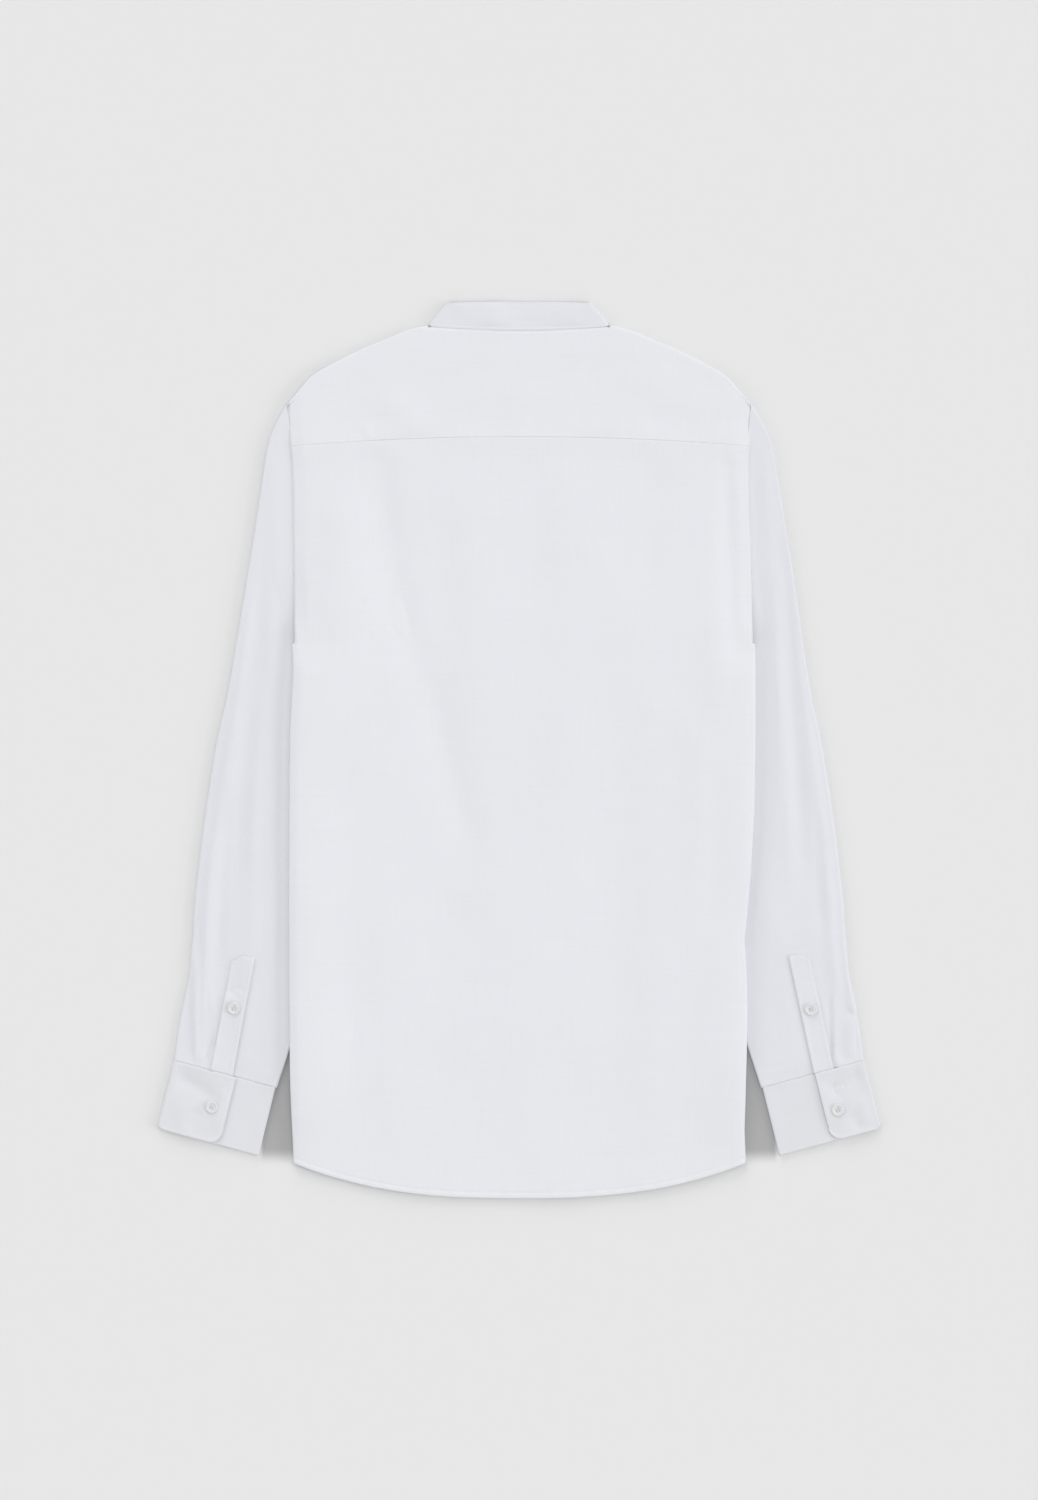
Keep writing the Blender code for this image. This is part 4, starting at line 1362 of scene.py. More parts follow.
@dataclass
class Sleeve:
    """One sleeve: a flattened tube from the armhole to the cuff, with its pleats."""

    shirt: Shirt
    side: Side
    creases: tuple[Crease, ...]
    pleats: tuple[Pleat, ...]
    flap_end: float
    belly: float = 0.0010
    depth: float = 0.86
    valley: float = 0.0010
    dip: float = 0.020
    rest_gap: float = 0.00085
    rest_soft: float = 0.0005
    inset: float = 0.0021
    head_y: float = 0.3015
    inner_power: float = 1.62
    bow_end: float = 0.42
    lap: float = 0.022
    cuff_eased: float = 0.0032
    cuff_high: float = 0.0041
    cuff_edge: float = 0.0028
    cuff_under: float = 0.0025
    seam_rise: float = 0.0001
    outer: tuple[Edge, ...] = (
        Edge(0.3036, 0.2064), Edge(0.2904, 0.2138), Edge(0.2728, 0.2204),
        Edge(0.2552, 0.2240), Edge(0.2200, 0.2288), Edge(0.1848, 0.2341),
        Edge(0.1144, 0.2455), Edge(0.0440, 0.2578), Edge(0.0088, 0.2658),
        Edge(-0.0616, 0.2768), Edge(-0.1320, 0.2851), Edge(-0.1672, 0.2873),
        Edge(-0.2024, 0.2913), Edge(-0.2376, 0.2988), Edge(-0.2728, 0.3036))
    inner: tuple[Edge, ...] = (
        Edge(0.0620, 0.1200), Edge(-0.0960, 0.1600), Edge(-0.2550, 0.2005),
        Edge(-0.2970, 0.2143))
    head_back: tuple[Head, ...] = (
        Head(0.00, 0.1200, 0.0620), Head(0.14, 0.1500, 0.0730), Head(0.28, 0.1820, 0.0850),
        Head(0.38, 0.1925, 0.1020), Head(0.54, 0.1940, 0.1550), Head(0.72, 0.1960, 0.2150),
        Head(0.88, 0.2000, 0.2720), Head(1.00, 0.2037, 0.3015))
    head_front: tuple[Head, ...] = (
        Head(0.00, 0.1200, 0.0620), Head(0.14, 0.1480, 0.0720), Head(0.26, 0.1730, 0.0820),
        Head(0.36, 0.1800, 0.1000), Head(0.52, 0.1810, 0.1550), Head(0.72, 0.1840, 0.2150),
        Head(0.88, 0.1920, 0.2680), Head(1.00, 0.2037, 0.3015))

    def head_point(self, table: Sequence[Head], share: float) -> Vector:
        """Point of the sleeve's edge at the armhole."""
        keys = [row.share for row in table]
        x = smooth(keys, [row.x for row in table], share)
        return Vector((x, smooth(keys, [row.y for row in table], share)))

    def line(self, head: Sequence[Head], down: float, share: float) -> Vector:
        """Point of a sleeve layer in plan.

        Args:
            head: The layer's edge at the armhole.
            down: 0 at the armhole and 1 at the cuff.
            share: 0 at the inner fold and 1 at the outer one.

        Returns:
            Its x from the centre line and its y.
        """
        cut = self.shirt.cut
        outer_y = mix(self.head_y, cut.cuff_y, down)
        inner_y = mix(cut.underarm_y, self.inner[-1].y, down ** self.inner_power)
        outer = Vector((x_at(self.outer, outer_y) - self.inset, outer_y))
        inner = Vector((x_at(self.inner, inner_y), inner_y))
        start_outer = self.head_point(head, 1.0)
        start_inner = self.head_point(head, 0.0)
        bow = self.head_point(head, share) - start_inner.lerp(start_outer, share)
        bow *= max(1.0 - down / self.bow_end, 0.0) ** 2
        outer = outer.lerp(start_outer, ramp(down, 0.05, 0.0))
        return inner.lerp(outer, share) + bow

    def covered(self, down: float) -> float:
        """How much of the sleeve's width lies under the body, at least an eighth.

        Args:
            down: 0 at the armhole and 1 at the cuff.

        Returns:
            Share of the width.
        """
        low = 0.125
        high = 0.80
        for _ in range(20):
            middle = (low + high) / 2.0
            if self.line(self.head_back, down, middle).x < self.shirt.lay.sleeve_clear_x:
                low = middle
            else:
                high = middle
        return low

    def top(self, x: float, y: float) -> float:
        """Upper layer with its creases and pleats; x is the distance from the centre line.

        Args:
            x: Distance from the centre line.
            y: Place up the shirt.

        Returns:
            Height of the middle surface.
        """
        lay = self.shirt.lay
        clear = ramp(x, lay.sleeve_clear_x, lay.sleeve_clear_x + self.dip)
        edge = self.outer_x(y)
        soft = clear * ramp(x, edge, edge - 0.012)
        relief = self.depth * relief_of(self.creases, x, y)
        sign = float(self.side.value)
        relief += rumple(x, y, 0.050, 0.0006, 11.0 * sign)
        relief += rumple(x, y, 0.020, 0.00025, 5.0 * sign)
        relief += self.belly * ramp(x, edge - 0.001, edge - 0.020) * ramp(y, -0.262, -0.170)
        pleats = relief_of(self.pleats, x, y)
        height = lay.sleeve(x, y) + relief * soft + pleats * clear
        away = x - x_at(self.shirt.cut.back_armhole, y)
        valley = self.valley * ramp(away, 0.018, 0.002)
        height -= valley * ramp(y, 0.300, 0.230) * ramp(y, 0.070, 0.130)
        return mix(self.above_lower(height), self.seam_height(x, y), self.meet(x, y))

    def above_lower(self, height: float) -> float:
        """Keep the upper layer clear of the lower one, with a soft stop."""
        over = height - self.shirt.lay.sleeve_low - self.rest_gap
        return height - over + (over + math.hypot(over, self.rest_soft)) / 2.0

    def meet(self, x: float, y: float) -> float:
        """1 at the cuff seam, 0 away from it."""
        return ramp(self.cuff_down(x, y), -0.012, -0.001)

    def cuff_down(self, x: float, y: float) -> float:
        """Distance below the cuff's top seam."""
        return self.shirt.cut.below_cuff_seam(x, y)

    def seam_height(self, x: float, y: float) -> float:
        """Height of the cuff where the sleeve is sewn to it."""
        across = self.shirt.cut.along_cuff(x, y)
        end = self.flap_end
        lap = end - self.lap
        face = mix(self.cuff_eased, self.cuff_high, ramp(across, 0.3 * lap, lap)) + self.seam_rise
        outer = mix(face, self.cuff_edge, ramp(across, end - 0.0225, end - 0.0195))
        return mix(outer, self.cuff_under, ramp(across, end - 0.002, end + 0.001))

    def short_of_cuff(self, share: float) -> float:
        """How far the last row has to move down to lie on the cuff's seam."""
        end = self.line(self.head_back, 1.0, share)
        return self.cuff_down(end.x, end.y) / self.shirt.cut.cuff_run[0]

    def drop(self, share: float, down: float) -> float:
        """How far a point near the cuff moves down, the whole way at the last row."""
        return self.short_of_cuff(share) * ramp(down, 0.95, 1.0)

    def outer_x(self, y: float) -> float:
        """Outer edge of the sleeve at a height."""
        return x_at(self.outer, y)

    def build(self) -> bpy.types.Object:
        """Make the tube in one piece.

        Returns:
            The piece.
        """
        columns = [("covered", s) for s in steps(0.0, 1.0, 12)[:-1]]
        columns += [("free", s) for s in steps(0.0, 1.0, 64)]
        columns += [("outer", angle) for angle in steps(22.5, 157.5, 6)]
        columns += [("lower", s) for s in steps(1.0, 0.0, 26)]
        columns += [("inner", angle) for angle in (135.0, 90.0, 45.0)]
        columns += [("covered", 0.0)]
        rows = steps(0.0, 0.05, 16) + steps(0.05, 0.96, 190)[1:] + steps(0.96, 0.99998, 18)[1:]
        shares = {down: self.covered(down) for down in rows}
        # The sleeve cloth carries painted shade: it is the shirt cloth made darker.
        finish = self.shirt.finishes.sleeve

        def place(column: tuple[str, float], down: float) -> Spot:
            """Point and cloth coordinates at a column and a row."""
            return self.place(column, down, shares[down])

        name = f"sleeve_cloth_{self.side.label}"
        return ClothSheet(name, columns, rows, place).build(finish)

    def place(self, column: tuple[str, float], down: float, edge: float) -> Spot:
        """Point of the tube.

        Args:
            column: The part round the tube and the place in it.
            down: 0 at the armhole and 1 at the cuff.
            edge: Share of the width that the body covers at this row.

        Returns:
            The point and its cloth coordinates.
        """
        lay = self.shirt.lay
        part, at = column
        if part in ("covered", "free"):
            share = edge * at if part == "covered" else mix(edge, 1.0, at)
            flat = self.line(self.head_back, down, share)
            flat.y += self.drop(share, down)
            z = self.top(flat.x, flat.y)
            u = share
        elif part == "lower":
            flat = self.line(self.head_front, down, at)
            flat.y += self.drop(at, down)
            z = lay.sleeve_low
            u = 2.05 - at
        else:
            end = 1.0 if part == "outer" else 0.0
            flat = self.line(self.head_back, down, end)
            before = self.line(self.head_back, down, abs(end - 0.06))
            drop = self.drop(end, down)
            flat.y += drop
            before.y += drop
            high = self.top(flat.x, flat.y)
            radius = (high - lay.sleeve_low) / 2.0
            angle = math.radians(at)
            flat = flat + (flat - before).normalized() * radius * math.sin(angle)
            z = high - radius * (1.0 - math.cos(angle))
            u = 1.0 + 0.05 * at / 180.0 if part == "outer" else -0.05 * at / 180.0
        x = self.side.value * flat.x
        shift = lay.shift(x, flat.y) * ramp(flat.y, -0.160, -0.060)
        return Vector((x + shift, flat.y, z)), (u * mix(0.20, 0.10, down), down * 0.56)


@dataclass
class Cuff:
    """Cuff: one strip from the rounded over-flap round the wrist to the under-flap."""

    shirt: Shirt
    side: Side
    end: float
    creases: tuple[Crease, ...]
    width: float = 0.0928
    height: float = 0.0615
    corner: float = 0.011
    soft: float = 0.005
    lap: float = 0.022
    wall: float = 0.0012
    full_wall: float = 0.0014
    low: float = 0.0007
    middle: float = 0.0024
    high: float = 0.0041
    eased: float = 0.0032
    seam_inset: float = 0.0015
    stitch_inset: float = 0.0022
    edge_swell: float = 0.00025
    button: tuple[float, float] = (0.0425, 0.031)

    def plan(self, across: float, down: float) -> Vector:
        """Place in plan from the cuff's own measures."""
        cut = self.shirt.cut
        top = Vector((-cut.cuff_x, cut.cuff_y))
        flat = top + Vector(cut.cuff_run) * across + Vector(cut.cuff_fall) * down
        return Vector((math.copysign(flat.x, self.side.value), flat.y))

    def length(self, at: float) -> float:
        """Length of the over-flap at a place across it, shorter round its corner."""
        near = at - (self.end - self.corner)
        if near <= 0.0:
            return self.height - self.fold_cut(at)
        return self.height - self.corner + math.sqrt(max(self.corner ** 2 - near ** 2, 0.0))

    def fold_cut(self, at: float) -> float:
        """How much shorter the strip is round its lower corner at the outer fold."""
        near = self.soft - (at - self.full_wall / 2.0)
        if near <= 0.0:
            return 0.0
        return self.soft - math.sqrt(max(self.soft ** 2 - near ** 2, 0.0))

    def face(self, at: float, down: float) -> float:
        """Height of the over-flap, with its creases and pressed edges.

        Args:
            at: Place across the cuff.
            down: Distance below its top edge.

        Returns:
            Height of the middle surface.
        """
        start = self.end - self.lap
        z = mix(self.eased, self.high, ramp(at, start * 0.3, start))
        relief = relief_of(self.creases, at, down)
        inside = ramp(at, 0.0, 0.012)
        relief += rumple(at, down, 0.018, 0.00035, self.side.value * 7.0) * inside
        swell = ramp(down, 0.0, 0.0012) * ramp(down, 0.0052, 0.0018)
        swell += ramp(self.length(at) - down, 0.0034, 0.0018)
        return z + relief * inside + self.edge_swell * swell * inside

    def build(self) -> bpy.types.Object:
        """Make the strip in one piece.

        Returns:
            The piece.
        """
        start = self.end - self.lap
        outer_turn = (self.eased - self.low) / 2.0
        inner_turn = (self.middle - self.low) / 2.0
        inset = outer_turn + self.full_wall / 2.0
        far = self.width - inner_turn - self.full_wall / 2.0
        corner = [math.sin(math.radians(angle)) for angle in steps(90.0, 6.0, 12)]
        columns = [("over", self.end - self.corner * (1.0 - c)) for c in corner]
        columns += [("over", c) for c in steps(self.end - self.corner, inset, 30)]
        columns += [("outer", angle) for angle in steps(15.0, 165.0, 10)]
        columns += [("under", c) for c in steps(inset, 0.007, 6) + steps(0.007, far, 24)[1:]]
        columns += [("inner", angle) for angle in steps(157.5, 22.5, 6)]
        columns += [("lap", c) for c in steps(far, start, 24)]
        rows = [0.0, 0.012, 0.024, 0.04, 0.06, 0.09] + steps(0.12, 0.94, 26)
        rows += [0.955, 0.968, 0.98, 0.99, 1.0]

        def place(column: tuple[str, float], share: float) -> Spot:
            """Point and cloth coordinates at a column and a row."""
            part, at = column
            length = self.height
            u = at
            if part == "over":
                length = self.length(at)
                across = at
                z = self.face(at, length * share)
            elif part == "under":
                across = at
                length -= self.fold_cut(at)
                z = self.low
                u = -at
            elif part == "lap":
                across = at
                fold = ramp(share, 0.0, 0.02) * ramp(at, far, far - 0.01)
                z = self.middle + 0.0002 * math.sin(at * 130.0) * fold
                u = at - 0.3
            elif part == "outer":
                angle = math.radians(at)
                across = inset - outer_turn * math.sin(angle)
                length -= self.fold_cut(across)
                face = self.face(inset, length * share)
                z = mix(face, self.low, (1.0 - math.cos(angle)) / 2.0)
                u = -0.01 * at / 180.0
            else:
                angle = math.radians(at)
                across = far + inner_turn * math.sin(angle)
                z = self.middle - inner_turn * (1.0 - math.cos(angle))
                u = -0.1 - 0.01 * at / 180.0
            flat = self.plan(across, mix(0.00001, length, share))
            return Vector((flat.x, flat.y, z)), (u, share * self.height)

        name = f"cuff_cloth_{self.side.label}"
        # The cuff cloth is the shirt cloth darkened as painted shade.
        return ClothSheet(name, columns, rows, place, self.wall).build(self.shirt.finishes.cuff)

    def _on_face(self, at: float, down: float) -> Vector:
        """Point on the outside of the over-flap."""
        flat = self.plan(at, down)
        return Vector((flat.x, flat.y, self.face(at, down) + self.wall / 2.0))

    def _on_lap(self, at: float, down: float) -> Vector:
        """Point on the outside of the lower flap."""
        flat = self.plan(at, down)
        return Vector((flat.x, flat.y, self.middle + self.wall / 2.0))

    def stitch_runs(self) -> list[list[Vector]]:
        """Lines of edge stitching on the over-flap and on the lower flap."""
        inset = self.stitch_inset
        foot = self.height - inset
        far = self.width - 0.004
        top = [self._on_face(at, self.seam_inset) for at in steps(0.004, self.end - 0.004, 24)]
        round_flap = [self._on_face(self.end - inset, down)
                      for down in steps(inset, self.height - self.corner, 16)]
        inner = self.corner - inset
        for angle in steps(0.0, 90.0, 8)[1:]:
            turn = math.radians(angle)
            at = self.end - self.corner + inner * math.cos(turn)
            down = self.height - self.corner + inner * math.sin(turn)
            round_flap.append(self._on_face(at, down))
        for at in steps(self.end - self.corner, 0.005, 18)[1:]:
            round_flap.append(self._on_face(at, foot))
        lower = [self._on_lap(at, self.seam_inset) for at in steps(self.end + 0.004, far, 16)]
        edge = [self._on_lap(at, foot) for at in steps(self.end - 0.002, far, 16)]
        return [top, round_flap, lower, edge]


@dataclass
class Placket:
    """Strip on a sleeve's upper layer, its top outer corner cut off."""

    shirt: Shirt
    sleeve: Sleeve
    top: tuple[float, float]
    foot: tuple[float, float]
    width: float
    corner: float
    creases: tuple[Crease, ...]
    button: tuple[float, float]
    wall: float = 0.0009
    clear: float = 0.0001
    pressed_rise: float = 0.00092
    edge_swell: float = 0.00022
    stitch_inset: float = 0.0020
    bar_share: float = 0.235

    def flat(self, offset: float, share: float) -> Vector:
        """Place in plan.

        Args:
            offset: -0.5 at the inner edge and 0.5 at the outer one.
            share: 0 at the top and 1 at the cuff.

        Returns:
            Its distance from the centre line and its y.
        """
        top = Vector(self.top)
        foot = Vector(self.foot)
        along = (foot - top).normalized()
        across = Vector((-along.y, along.x))
        start = top + across * offset * self.width
        if offset > 0.0:
            start += along * self.corner * offset * 2.0
        short = self.sleeve.cuff_down(start.x, start.y) + self.clear
        run_x, run_y = self.shirt.cut.cuff_run
        length = -short / Vector((-run_y, -run_x)).dot(along)
        return start + along * length * share

    def surface(self, offset: float, share: float) -> Vector:
        """Point of the middle surface, with the strip's pressed edges.

        Args:
            offset: -0.5 at the inner edge and 0.5 at the outer one.
            share: 0 at the top and 1 at the cuff.

        Returns:
            The point.
        """
        lay = self.shirt.lay
        flat = self.flat(offset, share)
        edge = (0.5 - abs(offset)) * self.width
        relief = relief_of(self.creases, flat.x, flat.y)
        relief += self.edge_swell * ramp(edge, 0.0, 0.0010) * ramp(edge, 0.0040, 0.0022)
        relief += rumple(flat.x, flat.y, 0.014, 0.00022, 21.0)
        base = lay.sleeve(flat.x, flat.y) + self.carried(flat)
        pressed = ramp(offset, -0.30, 0.45) * ramp(share, 0.42, 0.30)
        pressed = max(pressed, ramp(share, 0.05, 0.0), ramp(share, 0.93, 1.0) * 0.6)
        rise = mix(lay.layer, self.pressed_rise, pressed)
        z = base + rise + relief * ramp(edge, -0.0001, 0.0012)
        return Vector((self.sleeve.side.value * flat.x, flat.y, z))

    def carried(self, flat: Vector) -> float:
        """Creases of the sleeve that the strip lies over."""
        return max(self.sleeve.top(flat.x, flat.y) - self.shirt.lay.sleeve(flat.x, flat.y), 0.0)

    def build(self) -> bpy.types.Object:
        """Make the strip.

        Returns:
            The piece.
        """
        offsets = [-0.5, -0.47, -0.43, -0.38, -0.33] + steps(-0.27, 0.27, 8)
        offsets += [0.33, 0.38, 0.43, 0.47, 0.5]
        rows = steps(0.0, 1.0, 72)

        def place(offset: float, share: float) -> Spot:
            """Point and cloth coordinates at a column and a row."""
            return self.surface(offset, share), (offset * self.width, share * 0.1)

        name = f"placket_cloth_{self.sleeve.side.label}"
        sheet = ClothSheet(name, offsets, rows, place, self.wall)
        # The placket takes the sleeve cloth, which is the shirt cloth darkened as painted shade.
        return sheet.build(self.shirt.finishes.sleeve)

    def stitch_runs(self) -> list[list[Vector]]:
        """Stitching round the strip and across it above the opening."""
        lift = Vector((0.0, 0.0, self.wall / 2.0))
        inset = 0.5 - self.stitch_inset / self.width
        round_strip = [self.surface(-inset, s) + lift for s in steps(0.985, 0.02, 30)]
        round_strip += [self.surface(o, 0.02) + lift for o in steps(-inset, inset, 10)]
        round_strip += [self.surface(inset, s) + lift for s in steps(0.02, 0.985, 30)]
        bar = [self.surface(o, self.bar_share) + lift for o in steps(-inset, inset, 8)]
        return [round_strip, bar]


# ---------------------------------------------------------------- buttons

@dataclass
class Buttons:
    """Shirt buttons: a dished disc with a rim and four sewn holes."""

    shirt: Shirt
    radius: float = 0.0055
    thick: float = 0.0015
    hole: float = 0.0007
    hole_ring: float = 0.0013
    sides: int = 40
    cuff_gap: float = 0.0001
    strip_gap: float = 0.0002

    def blank(self) -> bpy.types.Mesh:
        """One button with its holes cut through, its back at the origin.

        Returns:
            The mesh.
        """
        r = self.radius
        t = self.thick
        profile = [(0.0, 0.62 * t), (0.42 * r, 0.62 * t), (0.58 * r, 0.72 * t),
                   (0.70 * r, 0.94 * t), (0.80 * r, t), (0.90 * r, 0.97 * t),
                   (0.975 * r, 0.82 * t), (r, 0.6 * t), (0.96 * r, 0.34 * t),
                   (0.82 * r, 0.08 * t), (0.6 * r, 0.0), (0.0, 0.0)]
        bm = bmesh.new()
        verts = [bm.verts.new((x, 0.0, z)) for x, z in profile]
        edges = [bm.edges.new(pair) for pair in zip(verts, verts[1:])]
        bmesh.ops.spin(bm, geom=verts + edges, cent=(0, 0, 0), axis=(0, 0, 1),
                       angle=2.0 * math.pi, steps=self.sides, use_merge=True)
        bmesh.ops.remove_doubles(bm, verts=bm.verts, dist=1e-7)
        bmesh.ops.recalc_face_normals(bm, faces=bm.faces)
        disc = shown("button blank", meshed("button blank", bm))
        bm = bmesh.new()
        for k in range(4):
            angle = math.radians(45.0 + 90.0 * k)
            spot = Vector((math.cos(angle), math.sin(angle), 0.0)) * self.hole_ring
            bmesh.ops.create_cone(bm, cap_ends=True, segments=12, radius1=self.hole,
                                  radius2=self.hole, depth=4.0 * t,
                                  matrix=Matrix.Translation(spot))
        drill = shown("drill", meshed("drill", bm))
        cut = disc.modifiers.new("holes", "BOOLEAN")
        cut.operation = "DIFFERENCE"
        cut.object = drill
        cut.solver = "EXACT"
        bpy.context.view_layer.update()
        graph = bpy.context.evaluated_depsgraph_get()
        mesh = bpy.data.meshes.new_from_object(disc.evaluated_get(graph))
        bpy.data.objects.remove(disc)
        bpy.data.objects.remove(drill)
        return mesh

    def place(self, blank: bpy.types.Mesh, node: str, at: Vector, face_up: bool,
              turn: float) -> tuple[bpy.types.Object, bpy.types.Object]:
        """Put a button and its thread where one of the solids is.

        Args:
            blank: The button's mesh.
            node: The solid it stands for.
            at: Its lowest middle point.
            face_up: False where it faces the floor.
            turn: Turn about its own axis.

        Returns:
            The button and its thread.
        """
        turned = Matrix.Rotation(turn, 4, "Z")
        if not face_up:
            turned = Matrix.Translation((0.0, 0.0, self.thick)) @ Matrix.Rotation(math.pi, 4, "X")
        where = Matrix.Translation(at) @ turned
        mesh = blank.copy()
        mesh.transform(where)
        button = dressed(f"shirt_{node}", mesh, self.shirt.finishes.pearl)
        self.shirt.replace(button, node, "button_pearl")
        bm = bmesh.new()
        ring = self.hole_ring * math.sqrt(0.5)
        for y in (-ring, ring):
            self._strand(bm, where, y)
        name = f"{node}_thread"
        thread = dressed(name, meshed(name, bm), self.shirt.finishes.thread)
        return button, thread

    def _strand(self, bm: bmesh.types.BMesh, where: Matrix, y: float) -> None:
        """Bundle of thread between two holes, ending just inside them."""
        size = Matrix.Diagonal((self.hole_ring * 0.95, 0.00038, 0.00034, 1.0))
        spot = Matrix.Translation((0.0, y, 0.62 * self.thick + 0.00012))
        bmesh.ops.create_uvsphere(bm, u_segments=10, v_segments=6, radius=1.0,
                                  matrix=where @ spot @ size)


# ---------------------------------------------------------------- sewing on the body

@dataclass
class BodySewing:
    """Lines of stitches on the body pieces and the collar."""

    body: Body
    collar: Collar
    wall: float = 0.0008
    from_seam: float = 0.0018
    from_armhole: float = 0.0020

    def _on(self, top: Callable[[float, float], float], x: float, y: float) -> Vector:
        """Point on the outside of a body piece."""
        return self.body.shirt.lay.spot(x, y, top(x, y) + self.wall / 2.0)

    def on_back(self) -> list[list[Vector]]:
        """Hem stitching and the armhole edges of the back panel."""
        cut = self.body.shirt.cut
        top = self.body.back_top
        hem = [self._on(top, x, cut.hem(cut.back_hem_y, x) + self.body.hem_stitch_y)
               for x in steps(-0.1945, 0.1945, 120)]
        return [hem] + [self._armhole(top, 0.105, 0.264, side) for side in Side]

    def on_yoke(self) -> list[list[Vector]]:
        """Edge stitching along the yoke seam and the armholes."""
        cut = self.body.shirt.cut
        top = self.body.yoke_top
        seam = [self._on(top, x, cut.yoke_seam(x) + self.from_seam)
                for x in steps(-0.1985, 0.1985, 120)]
        return [seam] + [self._armhole(top, 0.272, 0.296, side) for side in Side]

    def _armhole(self, top: Callable[[float, float], float], low: float, high: float,
                 side: Side) -> list[Vector]:
        """Stitches just inside an armhole edge."""
        edge = self.body.shirt.cut.back_armhole
        return [self._on(top, side.value * (x_at(edge, y) - self.from_armhole), y)
                for y in steps(low, high, 40)]

    def on_collar(self) -> list[list[Vector]]:
        """Edge stitching on the back half of the band."""
        lift = Vector((0.0, 0.0, self.collar.wall / 2.0))
        return [[self.collar.back_point(at, share) + lift for at in steps(-0.93, 0.93, 60)]
                for share in (0.075, 0.925)]


# ---------------------------------------------------------------- the studio

@dataclass
class Studio:
    """Pale floor, soft light from the collar's end, and a camera straight above.

    Each sun is its share of the light on the floor, its tilt from straight down, its turn
    about the vertical and how wide it is, in degrees.
    """

    view_height: float = 1.320
    distance: float = 4.0
    sensor: float = 36.0
    floor_size: float = 6.0
    floor_gap: float = 0.0002
    sky: float = 0.31
    suns: tuple[tuple[float, float, float, float], ...] = (
        (0.28, 12.0, -80.0, 70.0),
        (0.04, 60.0, -50.0, 35.0),
        (0.06, 60.0, 48.0, 35.0),
        (0.09, 70.0, 8.0, 30.0),
        (0.11, 72.0, -100.0, 28.0),
        (0.08, 66.0, 98.0, 35.0),
        (0.03, 68.0, 180.0, 40.0),
    )

    def build(self) -> None:
        """Make the floor, the lights and the camera."""
        scene = bpy.context.scene
        scene.view_settings.view_transform = "Standard"
        scene.view_settings.look = "None"
        bm = bmesh.new()
        bmesh.ops.create_grid(bm, x_segments=1, y_segments=1, size=self.floor_size / 2.0)
        floor = shown("floor", meshed("floor", bm))
        floor.location.z = -self.floor_gap
        floor.data.materials.append(FloorFinish().make())
        world = bpy.data.worlds.new("studio")
        world.use_nodes = True
        back = world.node_tree.nodes["Background"]
        back.inputs["Color"].default_value = (1.0, 1.0, 1.0, 1.0)
        back.inputs["Strength"].default_value = self.sky
        scene.world = world
        for share, tilt, turn, spread in self.suns:
            light = bpy.data.lights.new("soft light", "SUN")
            light.energy = share * math.pi / math.cos(math.radians(tilt))
            light.angle = math.radians(spread)
            lamp = shown("soft light", light)
            lamp.rotation_euler = (math.radians(-tilt), 0.0, math.radians(turn))
        eye = bpy.data.cameras.new("camera")
        eye.sensor_fit = "VERTICAL"
        eye.sensor_height = self.sensor
        eye.lens = self.sensor * self.distance / self.view_height
        camera = shown("camera", eye)
        camera.location = (0.0, 0.0, self.distance)
        scene.camera = camera


# ---------------------------------------------------------------- the whole shirt

def sleeve_of(shirt: Shirt, side: Side) -> Sleeve:
    """Sleeve with that side's own creases and pleats.

    Args:
        shirt: The lay, the cut and the finishes.
        side: Which side.

    Returns:
        The sleeve.
    """
    if side is Side.LEFT:
        creases = (
            Crease(0.2200, 0.215, 0.2540, -0.150, -0.0026, 0.0080, 0.002, 1.5),
            Crease(0.2240, 0.060, 0.2360, -0.120, 0.0013, 0.009),
            Crease(0.2360, 0.140, 0.2700, -0.130, 0.0014, 0.008, -0.001),
            Crease(0.2210, 0.270, 0.2300, 0.130, 0.0010, 0.008),
            Crease(0.2720, -0.080, 0.2785, -0.270, 0.0018, 0.0065),
            Crease(0.2560, -0.040, 0.2660, -0.200, -0.0018, 0.006),
            Crease(0.2300, -0.120, 0.2440, -0.280, 0.0011, 0.010),
            Crease(0.2595, -0.2105, 0.2440, -0.2180, -0.0006, 0.0022),
            Crease(0.2690, -0.230, 0.2685, -0.268, -0.0012, 0.0022),
            Crease(0.2795, -0.150, 0.2800, -0.268, -0.0010, 0.0026),
        )
        pleats = (
            Pleat(0.2872, -0.165, 0.2858, -0.2730, 0.0016, 0.013),
            Pleat(0.2730, -0.205, 0.2700, -0.2730, 0.0010, 0.008),
        )
        return Sleeve(shirt, side, creases, pleats, 0.057, depth=1.02, dip=0.034)
    creases = (
        Crease(0.2260, 0.200, 0.2560, -0.150, -0.0022, 0.0080, 0.002, 1.5),
        Crease(0.2180, 0.090, 0.2360, -0.110, 0.0014, 0.008),
        Crease(0.2430, 0.130, 0.2720, -0.120, 0.0014, 0.008, -0.001),
        Crease(0.2700, -0.100, 0.2810, -0.225, 0.0016, 0.0060),
        Crease(0.2600, -0.050, 0.2680, -0.170, -0.0016, 0.006),
        Crease(0.2240, -0.130, 0.2440, -0.275, 0.0007, 0.010),
        Crease(0.2320, 0.255, 0.2300, 0.120, 0.0007, 0.008),
        Crease(0.2730, -0.215, 0.2760, -0.275, -0.0014, 0.0030),
        Crease(0.2950, -0.135, 0.2980, -0.264, -0.0010, 0.0024),
    )
    pleats = (
        Pleat(0.2880, -0.135, 0.2962, -0.2100, 0.0012, 0.013, 0.5),
        Pleat(0.2950, -0.228, 0.2958, -0.2730, 0.0013, 0.012),
        Pleat(0.2790, -0.210, 0.2800, -0.2730, 0.0008, 0.006),
    )
    return Sleeve(shirt, side, creases, pleats, 0.045)


